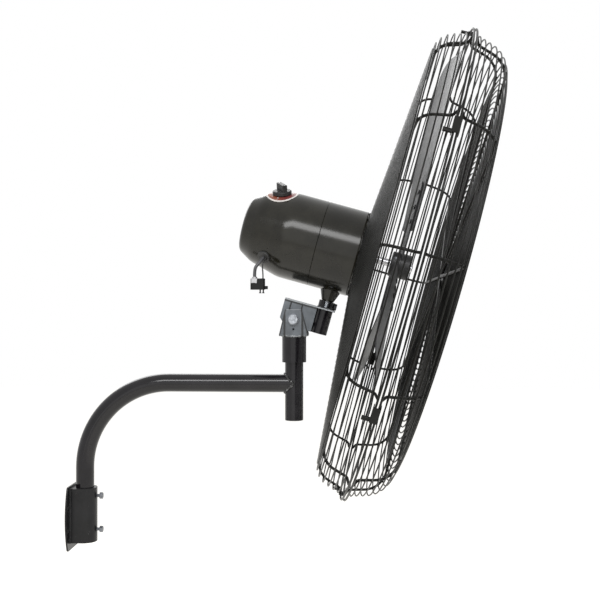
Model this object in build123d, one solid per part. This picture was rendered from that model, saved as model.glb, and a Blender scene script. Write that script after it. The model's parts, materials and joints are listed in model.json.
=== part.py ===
"""Wall mounted fan: a bent tube arm on a wall bracket carries a tilting, swivelling fan head.

Units are millimetres. The origin is the centre of the wall plate's back face, +X points
away from the wall and +Z is up. The head is drawn in its own frame: z runs forward along
the fan's axis from the plane where the two guard halves meet, x points up and y points to
the -Y side of the fan.
"""
from build123d import *
import os
from math import cos, degrees, floor, radians, sin, tan

os.makedirs("parts", exist_ok=True)

# ---------------------------------------------------------------- clearances
RUNNING_GAP = 0.06          # radial, round parts that turn in each other
FACE_GAP = 0.3              # between faces that slide past each other
WIRE_GAP = 0.1              # between a welded wire and what it lies on
THREAD_GAP = 0.05           # radial, screw in its hole
DIAL_GAP = 0.03             # glue line under the dial plate

# ---------------------------------------------------------------- wall bracket
plate_height = 112.0
plate_mid_width = 83.0
plate_end_width = 60.0
plate_thickness = 3.0
plate_corner = 5.0
fixing_hole_diameter = 8.0
fixing_spacing_y = 62.0
fixing_spacing_z = 40.0
wall_sleeve_bottom = -43.0
wall_sleeve_length = 95.0
wall_sleeve_wall = 5.4
wall_sleeve_gap = 0.2
clamp_screw_heights = [36.9, -22.3]
clamp_screw_diameter = 6.0
clamp_screw_flats = 10.0
clamp_screw_head = 5.6
clamp_screw_stand_off = 5.0

# ---------------------------------------------------------------- arm and post
tube_diameter = 31.75
tube_wall = 2.0
arm_height = 237.0
arm_bend_radius = 150.0
arm_insertion = 80.0
post_x = 394.8
post_below_arm = 64.4
weld_size = 2.6

# ---------------------------------------------------------------- swivel sleeve and fork
swivel_sleeve_diameter = 42.0
swivel_sleeve_length = 46.0
sleeve_top_above_arm = 83.0
post_top_gap = 6.0
sleeve_screw_diameter = 8.0
sleeve_screw_flats = 13.0
sleeve_screw_head = 5.3
fork_thickness = 3.0
fork_base_length = 50.0
fork_ear_length = 29.0
fork_ear_above_pivot = 17.4
fork_rib_height = 1.0
fork_dimple_diameter = 4.0
fork_dimple_drop = 17.0
pivot_above_sleeve = 28.8
pivot_bolt_diameter = 10.0
pivot_bolt_flats = 16.0
pivot_bolt_head = 6.4
pivot_nut_height = 8.0
pivot_washer_diameter = 20.0
pivot_washer_thickness = 1.6

# ---------------------------------------------------------------- tilt yoke and socket
rest_tilt = 15.5            # degrees, nose down
pivot_below_axis = 138.5    # pivot to fan axis, square to the axis
pivot_behind_rim = 162.4    # pivot to the rim plane, along the axis
yoke_thickness = 3.0
yoke_inner_width = 29.0
yoke_plate_top_above_pivot = 32.8
yoke_rear_reach = 23.9
yoke_front_reach = 65.2
yoke_cheek_drop = 12.7
yoke_cheek_chamfer = 10.0
yoke_groove_width = 1.4
yoke_groove_depth = 0.7
yoke_groove_offsets = [-11.5, 8.5]
socket_ahead_of_pivot = 47.6
socket_diameter = 28.0
socket_above_plate = 12.7
socket_slot_width = 9.0
socket_slot_depth = 11.5
socket_screw_diameter = 6.0
socket_screw_flats = 10.0
socket_screw_head = 4.5
stud_diameter = 19.0
stud_end_gap = 3.0
boss_top_diameter = 38.5
boss_bottom_diameter = 21.0
stud_in_boss = 14.0

# ---------------------------------------------------------------- motor housing
housing_diameter = 150.0
housing_front = -84.2
housing_seam = -156.0
housing_rear = -289.0
housing_wall = 2.0
housing_front_round = 3.0
taper_start = -212.0
taper_knee = -264.0
taper_knee_radius = 61.0
taper_end_radius = 46.2
taper_rounds = [60.0, 40.0, 13.0]
seam_chamfer = 0.6

# ---------------------------------------------------------------- motor
shaft_diameter = 12.7
shaft_front = 12.0
bearing_diameter = 40.0
bearing_width = 12.0
bearing_wall = 3.5
stator_front = -108.0
stator_length = 40.0
stator_bore = 76.2
air_gap = 0.5
winding_outer = 62.0
winding_inner = 46.0
winding_front_length = 10.0
winding_rear_length = 13.0
end_shield_front = -167.0
end_shield_thickness = 3.0
motor_bolt_circle = 68.0
motor_bolt_diameter = 5.0
motor_bolt_flats = 8.0
motor_bolt_head = 3.5
capacitor_size = (50.0, 24.0, 36.0)
capacitor_offset = -38.0

# ---------------------------------------------------------------- speed switch and lead
dial_station = -238.3
dial_azimuth = 21.0
dial_diameter = 55.0
dial_thickness = 0.8
knob_base_diameter = 33.0
knob_base_height = 6.5
knob_grip_length = 30.0
knob_grip_width = 9.0
knob_height = 18.0
knob_turn = -59.0           # degrees, grip against the fan's axis
knob_flute_radius = 0.8
knob_flute_pitch = 2.6
knob_flute_count = 9
spindle_diameter = 6.0
switch_diameter = 27.0
switch_depth = 18.0
switch_neck_diameter = 9.0
grommet_station = -237.5
grommet_azimuth = 135.0
grommet_diameter = 23.0
grommet_height = 3.2
grommet_neck_diameter = 14.0
lead_diameter = 5.6
thin_wire_diameter = 2.2
connector_size = (24.0, 15.0, 19.0)
connector_round = 3.0
connector_collar_height = 3.0
connector_collar_wall = 1.6
connector_ear_size = (10.0, 7.5, 5.5)
connector_ear_height = 3.6
connector_screw_diameter = 2.5
connector_screw_head = 4.0
connector_screw_length = 6.0
connector_screw_crown = 1.5
connector_screw_shifts = [4.2, 9.4]

# ---------------------------------------------------------------- guard
rim_radius = 411.0
rim_wire = 3.5
rim_offset = 2.6
ring_wire = 2.4
rib_wire = 4.4
rib_count = 12
rib_azimuth = -0.7          # degrees, first rib against straight up
face_split_radius = 200.0   # rings inside it form a node of their own
ring_pitch = 10.2
side_start_inset = 12.6     # radius lost from the rim to the side's start, rib centre
side_start_depth = 8.5      # from the rim plane
side_lean = 16.7            # degrees, side wall towards the axis
front_face = 62.7
front_corner_radius = 41.0
front_rib_end = 14.0
rear_corner_radius = 31.0
rear_face_at_corner = 51.5
rear_rib_end = 55.0
mount_ring_outer = 63.0
mount_ring_inner = 52.0
mount_ring_thickness = 2.0
mount_ear_circle = 66.0
mount_ear_radius = 9.0
mount_screw_azimuth = 97.5
mount_screw_diameter = 6.0
mount_screw_flats = 10.0
mount_screw_head = 4.2
mount_screw_length = 10.0
centre_disc_diameter = 78.0
centre_disc_thickness = 2.0
clip_count = 6
clip_azimuth = 3.0
clip_length = 28.0
clip_wall = 1.2
clip_leg = 8.4
clip_tab_length = 12.0
clip_tab_width = 7.0
clip_tab_thickness = 4.6

# ---------------------------------------------------------------- blades
blade_count = 3
blade_tip_gap = 30.0        # between the blades' tips and the rim wire's centre
blade_root_radius = 62.0
blade_chord = 142.0
blade_root_chord = 92.0
blade_pitch = 8.5
blade_camber_radius = 330.0
blade_thickness = 1.6
blade_tip_round = 38.0
blade_root_round = 14.0
hub_rear = -27.0
hub_front = 8.0
hub_diameter = 44.0
arm_strap_width = 44.0
arm_strap_end = 150.0
arm_strap_thickness = 3.0
rivet_diameter = 5.0
rivet_head_diameter = 9.0
rivet_head = 1.8
rivet_radii = [78.0, 104.0, 130.0]
rivet_spread = 24.0
hub_screw_diameter = 6.0

# ---------------------------------------------------------------- derived places
tube_radius = tube_diameter / 2
post_bottom = arm_height - post_below_arm
swivel_sleeve_top = arm_height + sleeve_top_above_arm
pivot_height = swivel_sleeve_top + pivot_above_sleeve
side_start = (rim_radius - side_start_inset, side_start_depth)
blade_tip_radius = rim_radius - blade_tip_gap
housing_radius = housing_diameter / 2
arm_x = plate_thickness + wall_sleeve_wall + wall_sleeve_gap + tube_radius
tilt = radians(rest_tilt)
AXIS = Vector(cos(tilt), 0, -sin(tilt))
UP = Vector(sin(tilt), 0, cos(tilt))
PIVOT = Vector(post_x, 0, pivot_height)
HEAD = Plane(origin=PIVOT + UP * pivot_below_axis + AXIS * pivot_behind_rim, x_dir=UP, z_dir=AXIS)
socket_station = socket_ahead_of_pivot - pivot_behind_rim
yoke_plate_top = yoke_plate_top_above_pivot - pivot_below_axis
yoke_bottom = -pivot_below_axis - yoke_cheek_drop
socket_top = yoke_plate_top + socket_above_plate
boss_bottom = socket_top + FACE_GAP
socket_screw_height = yoke_plate_top + socket_screw_flats * 0.6 + FACE_GAP
end_shield_rear = end_shield_front - end_shield_thickness
stator_rear = stator_front - stator_length
rib_radius = rib_wire / 2
ring_stand_off = (rib_wire + ring_wire) / 2 + WIRE_GAP
rear_rib_station = housing_front + mount_ring_thickness + rib_radius + WIRE_GAP / 2

ON_BASE = (Align.CENTER, Align.CENTER, Align.MIN)


# ---------------------------------------------------------------- small helpers
def rod(radius, start, end):
    """Round bar on the z axis between two heights."""
    return Pos(0, 0, start) * Cylinder(radius, end - start, align=ON_BASE)


def pipe(outer, inner, start, end):
    """Round pipe on the z axis between two heights."""
    return rod(outer, start, end) - rod(inner, start, end)


def hex_prism(flats, start, end):
    """Hexagon bar on the z axis between two heights."""
    outline = RegularPolygon(flats / 2, 6, major_radius=False)
    return Pos(0, 0, start) * extrude(outline, end - start)


def hex_screw(diameter, length, flats, head):
    """Hexagon screw on the z axis: the head stands on z = 0, the shank runs down."""
    crown = hex_prism(flats, 0, head)
    cap = Pos(0, 0, head) * Cone(flats * 0.62, flats * 0.42, head * 0.4)
    crown = crown - (hex_prism(flats * 1.3, head * 0.8, head * 1.3) - cap)
    return crown + rod(diameter / 2, -length, 0)


def group(shapes):
    """Separate solids that share one node."""
    return Compound([solid for shape in shapes for solid in shape.solids()])


def in_head(shape):
    """Moves a shape from the head's frame to the part's frame."""
    return HEAD.location * shape


def around(shape, count, first=0.0):
    """Copies of a shape turned about the fan's axis."""
    return [Rot(0, 0, first + 360 / count * turn) * shape for turn in range(count)]


# ---------------------------------------------------------------- wall bracket
def wall_plate():
    half_height = plate_height / 2
    half_mid = plate_mid_width / 2
    half_end = plate_end_width / 2
    right = ThreePointArc((half_end, -half_height), (half_mid, 0), (half_end, half_height))
    left = ThreePointArc((-half_end, half_height), (-half_mid, 0), (-half_end, -half_height))
    top = Line(right @ 1, left @ 0)
    bottom = Line(left @ 1, right @ 0)
    outline = fillet(make_face([right, top, left, bottom]).vertices(), plate_corner)
    holes = GridLocations(fixing_spacing_y, fixing_spacing_z, 2, 2) * Circle(fixing_hole_diameter / 2)
    return extrude(Plane.YZ * (outline - holes), plate_thickness)


def wall_sleeve():
    outer_radius = tube_radius + wall_sleeve_gap + wall_sleeve_wall
    depth = arm_x - plate_thickness
    back = Pos(plate_thickness + depth / 2, 0) * Rectangle(depth, 2 * outer_radius)
    outline = Pos(arm_x, 0) * Circle(outer_radius) + back
    bore = Pos(arm_x, 0) * Circle(tube_radius + wall_sleeve_gap)
    sleeve = Pos(0, 0, wall_sleeve_bottom) * extrude(outline - bore, wall_sleeve_length)
    for height in clamp_screw_heights:
        hole = rod(clamp_screw_diameter / 2 + THREAD_GAP, 0, 2 * outer_radius)
        sleeve -= Pos(arm_x, 0, height) * Rot(0, 90, 0) * hole
    return sleeve


def clamp_screws():
    sleeve_front = wall_sleeve_gap + wall_sleeve_wall
    length = sleeve_front + clamp_screw_stand_off - THREAD_GAP
    screw = hex_screw(clamp_screw_diameter, length, clamp_screw_flats, clamp_screw_head)
    head_x = arm_x + tube_radius + sleeve_front + clamp_screw_stand_off
    return group([Pos(head_x, 0, height) * Rot(0, 90, 0) * screw for height in clamp_screw_heights])


# ---------------------------------------------------------------- arm and post
def arm_tube():
    start = (arm_x, 0, wall_sleeve_bottom + wall_sleeve_length - arm_insertion)
    path = FilletPolyline(start, (arm_x, 0, arm_height), (post_x, 0, arm_height), radius=arm_bend_radius)
    section = Plane(origin=path @ 0, z_dir=path % 0) * (Circle(tube_radius) - Circle(tube_radius - tube_wall))
    cope = rod(tube_radius + FACE_GAP, post_bottom, swivel_sleeve_top)
    return sweep(section, path=path) - Pos(post_x, 0, 0) * cope


def post_tube():
    top = swivel_sleeve_top - post_top_gap
    return Pos(post_x, 0, 0) * pipe(tube_radius, tube_radius - tube_wall, post_bottom, top)


def weld_bead():
    along_arm = Pos(post_x - 2 * tube_radius, 0, arm_height) * Rot(0, 90, 0)
    collar = along_arm * rod(tube_radius + weld_size, 0, 2 * tube_radius)
    around_post = Pos(post_x, 0, 0) * rod(tube_radius + weld_size, post_bottom, swivel_sleeve_top)
    arm_core = along_arm * rod(tube_radius, -tube_radius, 4 * tube_radius)
    post_core = Pos(post_x, 0, 0) * rod(tube_radius, 0, swivel_sleeve_top)
    return (collar & around_post) - arm_core - post_core


# ---------------------------------------------------------------- swivel sleeve and fork
def swivel_sleeve():
    bottom = swivel_sleeve_top - swivel_sleeve_length
    outer = swivel_sleeve_diameter / 2
    sleeve = pipe(outer, tube_radius + RUNNING_GAP, bottom, swivel_sleeve_top)
    hole = rod(sleeve_screw_diameter / 2 + THREAD_GAP, 0, swivel_sleeve_diameter)
    middle = (bottom + swivel_sleeve_top) / 2
    return Pos(post_x, 0, 0) * (sleeve - Pos(0, 0, middle) * Rot(-90, 0, 0) * hole)


def sleeve_lock_screw():
    wall = swivel_sleeve_diameter / 2 - tube_radius
    stand_off = wall / 2
    screw = hex_screw(sleeve_screw_diameter, wall + stand_off - FACE_GAP, sleeve_screw_flats, sleeve_screw_head)
    middle = swivel_sleeve_top - swivel_sleeve_length / 2
    return Pos(post_x, tube_radius + wall + stand_off, middle) * Rot(-90, 0, 0) * screw


fork_inner_half = yoke_inner_width / 2 + yoke_thickness + FACE_GAP
fork_outer_half = fork_inner_half + fork_thickness
fork_rib_half = fork_outer_half + fork_rib_height


def fork_ear():
    """One ear of the fork, standing on z = 0 of the base, drawn from its inner face outwards."""
    top = pivot_height + fork_ear_above_pivot - swivel_sleeve_top
    half_base = fork_base_length / 2
    half_ear = fork_ear_length / 2
    web = Polygon((-half_base, 0), (half_base, 0), (half_base, fork_thickness), (half_ear, top),
                  (-half_ear, top), (-half_base, fork_thickness), align=None)
    rib = Pos(0, top / 2) * Rectangle(fork_ear_length, top)
    upright = Plane.XZ * web
    raised = Plane.XZ * rib
    return extrude(upright, fork_thickness) + extrude(raised, fork_thickness + fork_rib_height)


def tilt_fork():
    base = Box(fork_base_length, 2 * fork_outer_half, fork_thickness, align=ON_BASE)
    ear = Pos(0, -fork_inner_half, 0) * fork_ear()
    fork = base + ear + mirror(ear, about=Plane.XZ)
    height = pivot_height - swivel_sleeve_top
    hole = Rot(90, 0, 0) * rod(pivot_bolt_diameter / 2 + RUNNING_GAP, -2 * fork_rib_half, 2 * fork_rib_half)
    dimple = Rot(90, 0, 0) * rod(fork_dimple_diameter / 2, fork_inner_half, 2 * fork_rib_half)
    fork -= Pos(0, 0, height) * hole
    fork -= Pos(0, 0, height - fork_dimple_drop) * dimple
    return Pos(post_x, 0, swivel_sleeve_top) * fork


def at_pivot(shape):
    """Places a shape whose z axis is the tilt axis, z = 0 at the middle of the fork."""
    return Pos(post_x, 0, pivot_height) * Rot(90, 0, 0) * shape


def tilt_bolt():
    near_end = fork_rib_half + pivot_washer_thickness
    length = 2 * near_end + pivot_nut_height + 2
    screw = hex_screw(pivot_bolt_diameter, length, pivot_bolt_flats, pivot_bolt_head)
    return at_pivot(Pos(0, 0, near_end) * screw)


def tilt_washers():
    bore = pivot_bolt_diameter / 2 + RUNNING_GAP
    washer = pipe(pivot_washer_diameter / 2, bore, fork_rib_half, fork_rib_half + pivot_washer_thickness)
    return at_pivot(group([washer, Rot(180, 0, 0) * washer]))


def tilt_nut():
    start = fork_rib_half + pivot_washer_thickness
    nut = hex_prism(pivot_bolt_flats, start, start + pivot_nut_height)
    nut -= rod(pivot_bolt_diameter / 2 + THREAD_GAP, start, start + pivot_nut_height)
    return at_pivot(Rot(180, 0, 0) * nut)


# ---------------------------------------------------------------- tilt yoke and socket
def across_head(up, station, shape):
    """Places a shape whose z axis points to the near side of the head."""
    return Pos(up, 0, station) * Rot(-90, 0, 0) * shape


def tilt_yoke():
    half_width = yoke_inner_width / 2 + yoke_thickness
    rear = -pivot_behind_rim - yoke_rear_reach
    front = -pivot_behind_rim + yoke_front_reach
    cheek_front = socket_station - socket_diameter / 2 + 2 * FACE_GAP
    plate_bottom = yoke_plate_top - yoke_thickness
    length = front - rear
    plate = Pos(plate_bottom, 0, rear) * Box(yoke_thickness, 2 * half_width, length,
                                             align=(Align.MIN, Align.CENTER, Align.MIN))
    outline = Polygon((plate_bottom, rear), (plate_bottom, cheek_front), (yoke_bottom, cheek_front),
                      (yoke_bottom, rear + yoke_cheek_chamfer), (yoke_bottom + yoke_cheek_chamfer, rear),
                      align=None)
    cheek = extrude(Plane.XZ * outline, yoke_thickness)
    near_cheek = Pos(0, half_width, 0) * cheek
    far_cheek = Pos(0, yoke_thickness - half_width, 0) * cheek
    yoke = plate + near_cheek + far_cheek
    for offset in yoke_groove_offsets:
        groove = Box(2 * pivot_below_axis, yoke_groove_depth, yoke_groove_width)
        for side in (-1, 1):
            middle = side * (half_width - yoke_groove_depth / 2)
            yoke -= Pos(plate_bottom - pivot_below_axis, middle, offset - pivot_behind_rim) * groove
    bolt_hole = rod(pivot_bolt_diameter / 2 + RUNNING_GAP, -2 * half_width, 2 * half_width)
    yoke -= across_head(-pivot_below_axis, -pivot_behind_rim, bolt_hole)
    socket_hole = rod(socket_diameter / 2 + THREAD_GAP, yoke_bottom, socket_top)
    yoke -= Pos(0, 0, socket_station) * Rot(0, 90, 0) * socket_hole
    return in_head(yoke)


def socket_tube():
    bore = stud_diameter / 2 + RUNNING_GAP
    tube = pipe(socket_diameter / 2, bore, yoke_bottom, socket_top)
    slot = Box(socket_slot_width, 2 * socket_diameter, socket_slot_depth,
               align=(Align.CENTER, Align.CENTER, Align.MAX))
    tube -= Pos(0, 0, socket_top) * slot
    hole = rod(socket_screw_diameter / 2 + THREAD_GAP, 0, socket_diameter)
    tube -= Pos(0, 0, socket_screw_height) * Rot(0, -90, 0) * hole
    return upright_at_socket(tube)


def socket_lock_screw():
    wall = socket_diameter / 2 - stud_diameter / 2
    screw = hex_screw(socket_screw_diameter, wall - FACE_GAP, socket_screw_flats, socket_screw_head)
    placed = Pos(socket_screw_height, 0, socket_station + socket_diameter / 2) * screw
    return in_head(placed)


def upright_at_socket(shape):
    """Places a shape whose z axis points up through the socket's middle."""
    return in_head(Pos(0, 0, socket_station) * Rot(0, 90, 0) * shape)


def neck_stud():
    return upright_at_socket(rod(stud_diameter / 2, yoke_bottom + stud_end_gap, boss_bottom + stud_in_boss))


def neck_boss():
    """Cone under the motor, saddled to the housing's round side."""
    height = -housing_radius - boss_bottom + boss_top_diameter / 8
    cone = Pos(0, 0, boss_bottom) * Cone(boss_bottom_diameter / 2, boss_top_diameter / 2, height, align=ON_BASE)
    cone -= rod(stud_diameter / 2, boss_bottom, boss_bottom + stud_in_boss)
    housing = in_head(rod(housing_radius, housing_seam, housing_front))
    return upright_at_socket(cone) - housing


# ---------------------------------------------------------------- motor housing
def rear_outline():
    """Half section of the rear shell, radius against distance along the axis."""
    return FilletPolyline(
        (housing_radius, 0, housing_seam),
        (housing_radius, 0, taper_start),
        (taper_knee_radius, 0, taper_knee),
        (taper_end_radius, 0, housing_rear),
        (0, 0, housing_rear),
        radius=taper_rounds,
    )


def rear_body():
    """The rear shell's outer form as a full solid."""
    side = rear_outline()
    back = Line((0, 0, housing_rear), (0, 0, housing_seam))
    front = Line((0, 0, housing_seam), (housing_radius, 0, housing_seam))
    return revolve(make_face([*side.edges(), back, front]), Axis.Z)


def shell_frame(station, azimuth):
    """Frame on the rear shell's skin: z points straight out of it."""
    outline = rear_outline()
    low, high = 0.0, 1.0
    for _ in range(40):
        middle = (low + high) / 2
        if (outline @ middle).Z > station:
            low = middle
        else:
            high = middle
    point = outline @ low
    along = outline % low
    skin = Plane(origin=point, x_dir=along, z_dir=(-along.Z, 0, along.X))
    return Rot(0, 0, azimuth) * skin.location


def rear_shell():
    body = rear_body()
    seam_face = body.faces().sort_by(Axis.Z)[-1]
    shell = offset(body, amount=-housing_wall, openings=seam_face)
    edge = shell.edges().filter_by(GeomType.CIRCLE).sort_by(Axis.Z)[-2:].sort_by(SortBy.RADIUS)[-1]
    shell = chamfer(edge, seam_chamfer)
    neck_hole = rod(switch_neck_diameter / 2 + THREAD_GAP, -4 * housing_wall, housing_wall)
    grommet_hole = rod(grommet_neck_diameter / 2 + THREAD_GAP, -4 * housing_wall, housing_wall)
    shell -= shell_frame(dial_station, dial_azimuth) * neck_hole
    shell -= shell_frame(grommet_station, grommet_azimuth) * grommet_hole
    return in_head(shell)


def front_shell():
    body = rod(housing_radius, housing_seam, housing_front)
    front_edge = body.edges().filter_by(GeomType.CIRCLE).sort_by(Axis.Z)[-1]
    body = fillet(front_edge, housing_front_round)
    back_edge = body.edges().filter_by(GeomType.CIRCLE).sort_by(Axis.Z)[0]
    body = chamfer(back_edge, seam_chamfer)
    inside = housing_front - housing_wall
    shell = body - rod(housing_radius - housing_wall, housing_seam, inside)
    cup_depth = inside - bearing_width
    shell += pipe(bearing_diameter / 2 + bearing_wall, bearing_diameter / 2, cup_depth, inside)
    shell -= rod(shaft_diameter / 2 + 2, inside, housing_front)
    bolt_hole = Pos(motor_bolt_circle, 0) * rod(motor_bolt_diameter / 2 + THREAD_GAP, inside, housing_front)
    screw_hole = Pos(mount_ear_circle, 0) * rod(mount_screw_diameter / 2 + THREAD_GAP, inside, housing_front)
    for hole in around(bolt_hole, 4, 45) + around(screw_hole, 4, mount_screw_azimuth):
        shell -= hole
    return in_head(shell)


def end_shield():
    radius = housing_radius - housing_wall - THREAD_GAP
    cup_rear = end_shield_rear - bearing_width
    shield = rod(radius, end_shield_rear, end_shield_front)
    shield += rod(bearing_diameter / 2 + bearing_wall, cup_rear - end_shield_thickness, end_shield_rear)
    shield -= rod(bearing_diameter / 2, cup_rear, end_shield_front)
    hole = Pos(motor_bolt_circle, 0) * rod(motor_bolt_diameter / 2 + THREAD_GAP, end_shield_rear, end_shield_front)
    for bolt_hole in around(hole, 4, 45):
        shield -= bolt_hole
    return in_head(shield)


def motor_bolts():
    length = housing_front - end_shield_rear + motor_bolt_head
    screw = hex_screw(motor_bolt_diameter, length, motor_bolt_flats, motor_bolt_head)
    return in_head(group(around(Pos(motor_bolt_circle, 0, housing_front) * screw, 4, 45)))


# ---------------------------------------------------------------- motor
def stator_core():
    core = pipe(housing_radius - housing_wall - THREAD_GAP, stator_bore / 2, stator_rear, stator_front)
    hole = Pos(motor_bolt_circle, 0) * rod(motor_bolt_diameter / 2 + THREAD_GAP, stator_rear, stator_front)
    for bolt_hole in around(hole, 4, 45):
        core -= bolt_hole
    return in_head(core)


def windings():
    front = pipe(winding_outer, winding_inner, stator_front, stator_front + winding_front_length)
    rear = pipe(winding_outer, winding_inner, stator_rear - winding_rear_length, stator_rear)
    rounded = []
    for coil, side in ((front, -1), (rear, 0)):
        rims = coil.edges().filter_by(GeomType.CIRCLE).group_by(Axis.Z)[side]
        rounded.append(fillet(rims, (winding_outer - winding_inner) / 4))
    return in_head(group(rounded))


def bearing(rear):
    return in_head(pipe(bearing_diameter / 2, shaft_diameter / 2 + RUNNING_GAP, rear, rear + bearing_width))


def motor_shaft():
    rear = end_shield_rear - bearing_width + 1
    shaft = rod(shaft_diameter / 2, rear, shaft_front)
    return in_head(chamfer(shaft.edges().filter_by(GeomType.CIRCLE), 0.8))


def rotor():
    return in_head(pipe(stator_bore / 2 - air_gap, shaft_diameter / 2, stator_rear, stator_front))


def capacitor():
    tall, wide, deep = capacitor_size
    can = Box(tall, wide, deep, align=(Align.CENTER, Align.CENTER, Align.MAX))
    can = fillet(can.edges().filter_by(Axis.Z), wide / 4)
    return in_head(Pos(0, capacitor_offset, end_shield_rear) * can)


# ---------------------------------------------------------------- speed switch
def dial_plate():
    skin = offset(rear_body(), amount=dial_thickness) - offset(rear_body(), amount=DIAL_GAP)
    disc = rod(dial_diameter / 2, -dial_diameter / 4, dial_diameter / 4)
    disc -= rod(switch_neck_diameter / 2 + THREAD_GAP, -dial_diameter, dial_diameter)
    return in_head(skin & (shell_frame(dial_station, dial_azimuth) * disc))


def switch_sag():
    """How far the curved skin falls away at the switch's edge."""
    return (switch_diameter / 2) ** 2 / housing_radius


def speed_switch():
    top = -housing_wall - switch_sag()
    body = rod(switch_diameter / 2, top - switch_depth, top)
    neck = rod(switch_neck_diameter / 2, top, dial_thickness)
    bore = rod(spindle_diameter / 2 + RUNNING_GAP, top - switch_depth / 2, dial_thickness)
    return in_head(shell_frame(dial_station, dial_azimuth) * (body + neck - bore))


def switch_spindle():
    bottom = -housing_wall - switch_sag() - switch_depth / 2 + FACE_GAP
    top = dial_thickness + FACE_GAP + knob_height * 0.6
    spindle = rod(spindle_diameter / 2, bottom, top)
    return in_head(shell_frame(dial_station, dial_azimuth) * spindle)


def speed_knob():
    base = rod(knob_base_diameter / 2, 0, knob_base_height)
    base = fillet(base.edges().filter_by(GeomType.CIRCLE).sort_by(Axis.Z)[-1], 2.0)
    grip = Box(knob_grip_length, knob_grip_width, knob_height, align=ON_BASE)
    grip = fillet(grip.edges().filter_by(Axis.Z), 2.0)
    grip = fillet(grip.edges().group_by(Axis.Z)[-1], 1.2)
    knob = base + grip
    flute = rod(knob_flute_radius, knob_base_height + knob_flute_radius, knob_height)
    for step in range(knob_flute_count):
        along = (step - (knob_flute_count - 1) / 2) * knob_flute_pitch
        for side in (-1, 1):
            knob -= Pos(along, side * (knob_grip_width / 2 + knob_flute_radius / 3), 0) * flute
    knob -= rod(spindle_diameter / 2, 0, knob_height * 0.6)
    lifted = Pos(0, 0, dial_thickness + FACE_GAP) * Rot(0, 0, knob_turn) * knob
    return in_head(shell_frame(dial_station, dial_azimuth) * lifted)


# ---------------------------------------------------------------- lead and connector
def cable_grommet():
    frame = shell_frame(grommet_station, grommet_azimuth)
    flange = rod(grommet_diameter / 2, -housing_wall, grommet_height)
    flange = fillet(flange.edges().filter_by(GeomType.CIRCLE).sort_by(Axis.Z)[-1], 1.2)
    flange = frame * flange - rear_body()
    inner_sag = (grommet_neck_diameter / 2 + 2) ** 2 / housing_radius
    collar_top = -housing_wall - inner_sag
    neck = rod(grommet_neck_diameter / 2, collar_top - 1, 0.4)
    collar = rod(grommet_neck_diameter / 2 + 2, collar_top - 3, collar_top)
    return in_head(flange + frame * (neck + collar))


def lead_exit(shift=0.0):
    """Place and direction in which a lead leaves the grommet's face."""
    location = HEAD.location * shell_frame(grommet_station, grommet_azimuth)
    face = Plane(location * Pos(shift, 0, grommet_height))
    return face.origin, face.z_dir


def wire_along(points, diameter):
    """A round wire on straight runs joined by arcs as large as the runs allow."""
    corners = [Vector(point) for point in points]
    runs = [corners[i + 1] - corners[i] for i in range(len(corners) - 1)]
    radii = []
    for before, after in zip(runs, runs[1:]):
        half_turn = radians(before.get_angle(after)) / 2
        radii.append(0.45 * min(before.length, after.length) / tan(half_turn))
    path = FilletPolyline(*corners, radius=radii)
    section = Plane(origin=path @ 0, z_dir=path % 0) * Circle(diameter / 2)
    wire = sweep(section, path=path)
    expected = section.area * path.length
    print("wire length", round(path.length, 1), "volume ratio", round(wire.volume / expected, 4),
          "arc radii", [round(radius, 1) for radius in radii])
    return wire


connector_middle = 337.0
connector_top = Vector(331.6, -61.0, 418.6)
thin_wire_top = Vector(345.5, -57.4, 418.6)


def power_lead():
    start, out = lead_exit()
    points = [
        start,
        start + out * 6.5,
        (338.3, -59.8, 444.2),
        (333.2, -62.4, 437.8),
        (331.6, -61.0, 429.4),
        connector_top + Vector(0, 0, connector_collar_height),
    ]
    return wire_along(points, lead_diameter)


def thin_wire():
    start, out = lead_exit(shift=-5.6)
    points = [
        start,
        start + out * 4.0,
        (345.6, -59.4, 446.4),
        (344.6, -59.6, 437.2),
        (345.5, -57.4, 428.0),
        thin_wire_top,
    ]
    return wire_along(points, thin_wire_diameter)


def lead_connector():
    long_side, deep_side, high_side = connector_size
    block = Box(long_side, deep_side, high_side, align=(Align.CENTER, Align.CENTER, Align.MAX))
    block = fillet(block.edges().filter_by(Axis.Z), connector_round)
    collar = rod(lead_diameter / 2 + connector_collar_wall, 0, connector_collar_height)
    collar_shift = connector_top.X - connector_middle
    ear = Pos(long_side / 2, 0, connector_ear_height - high_side) * Box(*connector_ear_size)
    whole = block + Pos(collar_shift, 0, 0) * collar + ear
    return Pos(connector_middle, connector_top.Y, connector_top.Z) * whole


def connector_screws():
    high_side = connector_size[2]
    screw = rod(connector_screw_diameter / 2, -connector_screw_length, 0)
    screw += rod(connector_screw_head / 2, -connector_screw_length, connector_screw_crown - connector_screw_length)
    bottom = connector_top.Z - high_side
    return group([Pos(connector_middle + shift, connector_top.Y, bottom) * screw
                  for shift in connector_screw_shifts])


# ---------------------------------------------------------------- guard
def rib_path(side):
    """Centre line of one rib, from the rim to its inner end: x is radius, z is forward."""
    towards_rib = (Vector(*side_start) - Vector(rim_radius, rim_offset)).normalized()
    rim_point = Vector(rim_radius, rim_offset) + towards_rib * (rim_wire / 2 + WIRE_GAP)
    lean = tan(radians(side_lean))
    if side > 0:
        end = (front_rib_end, front_face)
        corner_depth = front_face
        corner_radius = front_corner_radius
    else:
        end = (rear_rib_end, -rear_rib_station)
        corner_depth = rear_face_at_corner
        corner_radius = rear_corner_radius
    corner = (side_start[0] - lean * (corner_depth - side_start[1]), corner_depth)
    rim_end = (rim_point.X, rim_point.Y)
    corners = [(radius, 0, side * depth) for radius, depth in (rim_end, side_start, corner, end)]
    return FilletPolyline(*corners, radius=[6.0, corner_radius])


def guard_ribs(side):
    path = rib_path(side)
    section = Plane(origin=path @ 0, z_dir=path % 0) * Circle(rib_radius)
    rib = sweep(section, path=path)
    return in_head(group(around(rib, rib_count, rib_azimuth)))


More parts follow.
